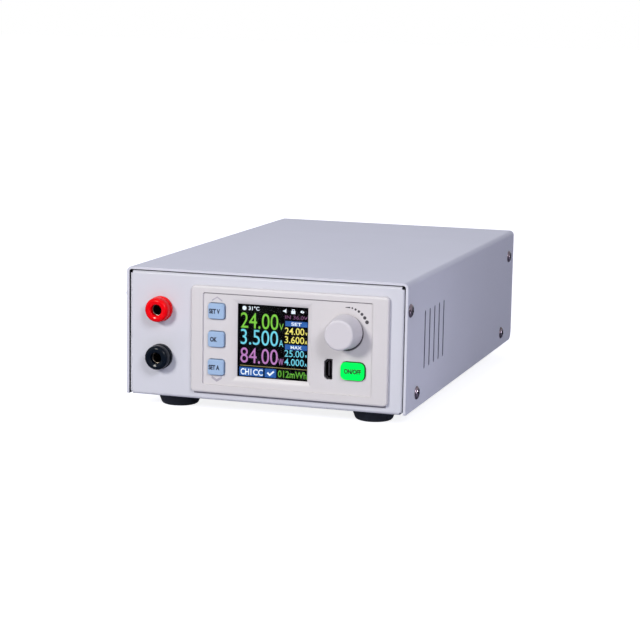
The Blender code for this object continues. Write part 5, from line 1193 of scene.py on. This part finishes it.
def addFigures(look):
    low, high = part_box("display_glass")
    left, right = low.x + look["margin"], high.x - look["margin"]
    bottom, top = low.z + look["margin"], high.z - look["margin"]
    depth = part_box("display_panel")[0].y - look["figureLift"]
    thickness = look["figureThickness"]
    raised = depth - thickness  # words and marks lie on the bars

    def at(u, v):
        return (left + (right - left) * u, top + (bottom - top) * v)

    groups = {colour: [] for colour in look["colours"]}
    for colour, words, u0, v0, u1, v1, weight in look["words"]:
        groups[colour].append(fitFlat(textMesh(words, weight), at(u0, v1), at(u1, v0), raised,
                                      thickness))
    for colour, u0, v0, u1, v1 in look["bars"]:
        bar = outlineMesh([(0, 0), (1, 0), (1, 1), (0, 1)])
        groups[colour].append(fitFlat(bar, at(u0, v1), at(u1, v0), depth, thickness))
    for colour, points in look["marks"]:
        placed = [at(u, v) for u, v in points]
        mesh = bpy.data.meshes.new("mark")
        mesh.from_pydata([(a, raised, b) for a, b in placed], [], [tuple(range(len(placed)))])
        groups[colour].append(thicken(mesh, thickness))
    u, v, radius = look["statusDot"]
    turns = [math.tau * step / look["dotSteps"] for step in range(look["dotSteps"])]
    dot = outlineMesh([(math.cos(turn), math.sin(turn)) for turn in turns])
    groups["white"].append(fitFlat(dot, at(u - radius, v + radius), at(u + radius, v - radius),
                                   raised, thickness))
    for colour, meshes in groups.items():
        name = colour + "Figures"
        material = figureSurface(name, look["colours"][colour], look)
        piece = newPiece(name, joinMeshes(name, meshes), material)
        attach(piece, "case")


addGlass(screenLook)
addFigures(screenLook)
print("display done")


# Back of the case: mains inlet, switch, fuse drawer and fan

rearLook = {
    "housing": {"colour": (0.014, 0.014, 0.016), "tone": (0.15, 150.0),
                "gloss": (0.34, 0.46, 260.0), "grain": (1500.0, 0.02 * mm)},
    "rocker": {"colour": (0.012, 0.012, 0.014), "tone": (0.15, 150.0),
               "gloss": (0.24, 0.34, 260.0), "grain": (2600.0, 0.006 * mm)},
    "fan": {"colour": (0.017, 0.017, 0.018), "tone": (0.12, 150.0),
            "gloss": (0.38, 0.5, 260.0), "grain": (1800.0, 0.015 * mm)},
    "nickel": {"colour": (0.66, 0.64, 0.60), "tone": (0.05, 600.0), "metallic": 1.0,
               "gloss": (0.18, 0.30, 900.0), "grain": (3600.0, 0.004 * mm)},
    "mark": {"colour": (0.75, 0.75, 0.74), "tone": (0.04, 400.0), "gloss": (0.5, 0.6, 400.0),
             "grain": (3000.0, 0.004 * mm)},
}
inletPlastic = texturedSurface("inletPlastic", rearLook["housing"])
rockerPlastic = texturedSurface("rockerPlastic", rearLook["rocker"])
fanPlastic = texturedSurface("fanPlastic", rearLook["fan"])
pinNickel = texturedSurface("pinNickel", rearLook["nickel"])
markWhite = texturedSurface("markWhite", rearLook["mark"])
# node, piece, material, edge in millimetres, body, slot
rearPieces = (
    ("inlet_housing", "inletHousing", inletPlastic, 0.25, "case", "black_plastic"),
    ("inlet_pin_line", "inletPinLine", pinNickel, 0.15, "case", "plated_metal"),
    ("inlet_pin_neutral", "inletPinNeutral", pinNickel, 0.15, "case", "plated_metal"),
    ("inlet_pin_earth", "inletPinEarth", pinNickel, 0.15, "case", "plated_metal"),
    ("power_rocker", "powerRocker", rockerPlastic, 0.4, "rocker_body", "black_plastic"),
    ("fuse_drawer", "fuseDrawer", inletPlastic, 0.2, "drawer_body", "black_plastic"),
    ("fan_frame", "fanFrame", fanPlastic, 0.25, "case", "black_plastic"),
)
for node, name, material, edge, body, slotName in rearPieces:
    softCopy(name, node, material, edge * mm, body)

rockerLook = {
    "tilt": -10.0,
    "axisDepth": 0.3 * mm,  # behind the rear panel
    "front": 4.2 * mm,  # from the axis to the ends of the face, and to its valley
    "valley": 2.4 * mm,
    "half": 9.5 * mm,
    "lift": 0.012 * mm,
    "thickness": 0.02 * mm,
    # in millimetres on the face
    "stroke": [(-0.3, -1.6), (0.3, -1.6), (0.3, 1.6), (-0.3, 1.6)],
    "ring": (1.1, 1.6),
    "ringSteps": 28,
}


def ringMesh(radii, steps):
    turns = [math.tau * step / steps for step in range(steps)]
    verts = [(radius * math.cos(turn), radius * math.sin(turn), 0)
             for radius in radii for turn in turns]
    faces = [(step, (step + 1) % steps, steps + (step + 1) % steps, steps + step)
             for step in range(steps)]
    ring = bpy.data.meshes.new("ring")
    ring.from_pydata(verts, [], faces)
    return ring


def addRockerMarks(look):
    # a stroke on one half of the rocker and a ring on the other
    axis = Vector((middleOf("power_rocker").x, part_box("chassis")[1].y + look["axisDepth"],
                   middleOf("fan_frame").z))
    turn = Matrix.Translation(axis) @ Matrix.Rotation(math.radians(look["tilt"]), 4, "X")
    front, valley, half = look["front"], look["valley"], look["half"]
    lean = math.atan2(front - valley, half)
    placed = []
    for mesh, sign in ((outlineMesh(look["stroke"]), 1),
                       (ringMesh(look["ring"], look["ringSteps"]), -1)):
        middle = Vector((0, (front + valley) / 2 + look["lift"], sign * half / 2))
        stand = Matrix.Rotation(math.radians(90) - sign * lean, 4, "X")
        mesh.transform(turn @ Matrix.Translation(middle) @ stand @ Matrix.Scale(mm, 4))
        shape = bmesh.new()
        shape.from_mesh(mesh)
        bpy.data.meshes.remove(mesh)
        bmesh.ops.recalc_face_normals(shape, faces=shape.faces)
        for face in shape.faces:
            if face.normal.y < 0:
                face.normal_flip()
        placed.append(meshOf(shape, "mark"))
    piece = newPiece("rockerMarks", joinMeshes("rockerMarks", placed), markWhite)
    wall = piece.modifiers.new("thickness", "SOLIDIFY")
    wall.thickness = look["thickness"]
    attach(piece, "rocker_body")


addRockerMarks(rockerLook)

fanLook = {
    "hubRadius": 8.5 * mm,
    "hubLength": 7.2 * mm,
    "hubRounding": 1.2 * mm,
    "shaftHole": (1.3 * mm, 5.0 * mm),
    "tipRadius": 18.2 * mm,
    "rootOverlap": 0.5 * mm,
    "chord": 9.0 * mm,
    "taper": 0.12,  # share of the chord that the tip loses
    "camber": 0.5 * mm,
    "rootPitch": 42.0,
    "tipPitch": 28.0,
    "bladeThickness": 0.8 * mm,
    "bladeSteps": 8,
    "blades": 7,
}


def bladeMesh(look):
    # one blade seen along the fan's axis, with a rounded trailing corner and a slight camber
    root, tip = look["hubRadius"] - look["rootOverlap"], look["tipRadius"]
    steps = look["bladeSteps"]
    shape = bmesh.new()
    rows = []
    for row in range(steps + 1):
        share = row / steps
        radius = root + (tip - root) * share
        pitch = math.radians(look["rootPitch"] + (look["tipPitch"] - look["rootPitch"]) * share)
        verts = []
        for column in range(steps + 1):
            along = look["chord"] * (column / steps - 0.5) * (1 - look["taper"] * share ** 4)
            camber = look["camber"] * (1 - (2 * column / steps - 1) ** 2)
            angle = (along * math.cos(pitch) + camber * math.sin(pitch)) / radius
            verts.append(shape.verts.new((radius * math.cos(angle),
                                          along * math.sin(pitch) - camber * math.cos(pitch),
                                          radius * math.sin(angle))))
        rows.append(verts)
    for inner, outer in zip(rows, rows[1:]):
        for column in range(steps):
            shape.faces.new((inner[column], inner[column + 1], outer[column + 1], outer[column]))
    bmesh.ops.recalc_face_normals(shape, faces=shape.faces)
    bmesh.ops.solidify(shape, geom=shape.faces, thickness=look["bladeThickness"])
    bmesh.ops.recalc_face_normals(shape, faces=shape.faces)
    return meshOf(shape, "blade")


def addRotor(look):
    centre, middle = middleOf("fan_frame"), middleOf("fan_rotor").y
    length, radius = look["hubLength"], look["hubRadius"]
    hole, depth = look["shaftHole"]
    blades = useTool(makeRingTool(), "fanBlades", bladeMesh(look),
                     {"Count": look["blades"], "Centre": (centre.x, middle, centre.z)},
                     fanPlastic)
    profile = [(0, length), (radius, length, look["hubRounding"]), (radius, 0), (hole, 0),
               (hole, depth), (0, depth)]
    hub = lathe("hub", profile, (centre.x, middle - length / 2, centre.z), "back")
    piece = newPiece("fanRotor", joinMeshes("fanRotor", [blades, hub]), fanPlastic)
    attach(piece, "rotor_body")
    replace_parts(piece, "fan_rotor")


def addFanScrews(look):
    centre, reach = middleOf("fan_frame"), look["fanReach"]
    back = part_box("chassis")[1].y + look["fanGap"]
    places = [(centre.x + side * reach, back, centre.z + rise * reach)
              for side in (-1, 1) for rise in (-1, 1)]
    addScrews("fanScrews", places, [(0, 1, 0)] * len(places), look["fan"])


addRotor(fanLook)
addFanScrews(screwLook)
print("rear done")


# Inside: the CAD nodes keep their shape and get their finish

nickelLook = {"colour": (0.66, 0.64, 0.60), "tone": (0.05, 600.0), "metallic": 1.0,
              "gloss": (0.2, 0.34, 900.0), "grain": (3600.0, 0.004 * mm)}
insideLooks = {
    "nutNickel": nickelLook,
    "plainAluminium": {"colour": (0.70, 0.71, 0.73), "tone": (0.03, 300.0), "metallic": 1.0,
                       "gloss": (0.32, 0.48, 500.0), "grain": (900.0, 0.006 * mm, (1, 1, 0.04))},
    "boardGreen": {"colour": (0.012, 0.13, 0.045), "tone": (0.25, 700.0),
                   "gloss": (0.25, 0.42, 700.0), "grain": (900.0, 0.01 * mm)},
    "terminalGreen": {"colour": (0.04, 0.30, 0.10), "tone": (0.05, 200.0),
                      "gloss": (0.36, 0.48, 300.0), "grain": (2000.0, 0.008 * mm)},
    "capacitorSleeve": {"colour": (0.012, 0.012, 0.016), "tone": (0.2, 200.0),
                        "gloss": (0.24, 0.36, 300.0), "grain": (1800.0, 0.006 * mm)},
    "ferriteGrey": {"colour": (0.045, 0.045, 0.05), "tone": (0.15, 400.0),
                    "gloss": (0.45, 0.6, 400.0), "grain": (2400.0, 0.02 * mm)},
    "fuseNickel": nickelLook,
    "redWire": {"colour": (0.50, 0.008, 0.008), "tone": (0.05, 300.0),
                "gloss": (0.35, 0.5, 400.0), "grain": (2400.0, 0.01 * mm)},
    "blackWire": {"colour": (0.013, 0.013, 0.015), "tone": (0.1, 300.0),
                  "gloss": (0.35, 0.5, 400.0), "grain": (2400.0, 0.01 * mm)},
}
insideNodes = {
    "nutNickel": ("positive_jack_nut", "negative_jack_nut", "encoder_body"),
    "plainAluminium": ("encoder_shaft", "converter_heatsink", "supply_heatsink"),
    "boardGreen": ("control_board", "converter_board", "supply_board"),
    "terminalGreen": ("converter_terminal_block", "supply_output_terminal",
                      "supply_mains_terminal"),
    "capacitorSleeve": ("converter_capacitor_1", "converter_capacitor_2",
                        "supply_bulk_capacitor", "supply_output_capacitor_1",
                        "supply_output_capacitor_2", "encoder_plunger"),
    "ferriteGrey": ("supply_transformer",),
    "fuseNickel": ("fuse",),
    "redWire": ("output_wire_positive",),
    "blackWire": ("output_wire_negative",),
}
windingLook = {"wire": (0.55, 0.20, 0.06), "gap": (0.10, 0.03, 0.01), "turns": 900.0,
               "waviness": 0.4, "relief": 0.1 * mm, "sheen": (0.3, 0.7)}


def dress(names, material):
    for name in names:
        nodes[name].data.materials.clear()
        nodes[name].data.materials.append(material)


def windingMaterial(look):
    # enamelled wire: bands across the ring's section
    material, tree, shader = newSurface("enamelledCopper", look["wire"], *look["sheen"])
    coords = addNode(tree, "ShaderNodeTexCoord")
    wave = addNode(tree, "ShaderNodeTexWave", {"Vector": coords.outputs["Object"],
                                               "Scale": look["turns"],
                                               "Distortion": look["waviness"]})
    tree.links.new(mixTones(tree, wave.outputs[1], look["gap"], look["wire"]),
                   shader.inputs["Base Color"])
    bump = addNode(tree, "ShaderNodeBump", {"Distance": look["relief"],
                                            "Height": wave.outputs[1]})
    tree.links.new(bump.outputs[0], shader.inputs["Normal"])
    return material


for finish, names in insideNodes.items():
    dress(names, texturedSurface(finish, insideLooks[finish]))
dress(("converter_inductor", "supply_choke"), windingMaterial(windingLook))
print("inside done")

bpy.context.scene.view_settings.view_transform = "Standard"
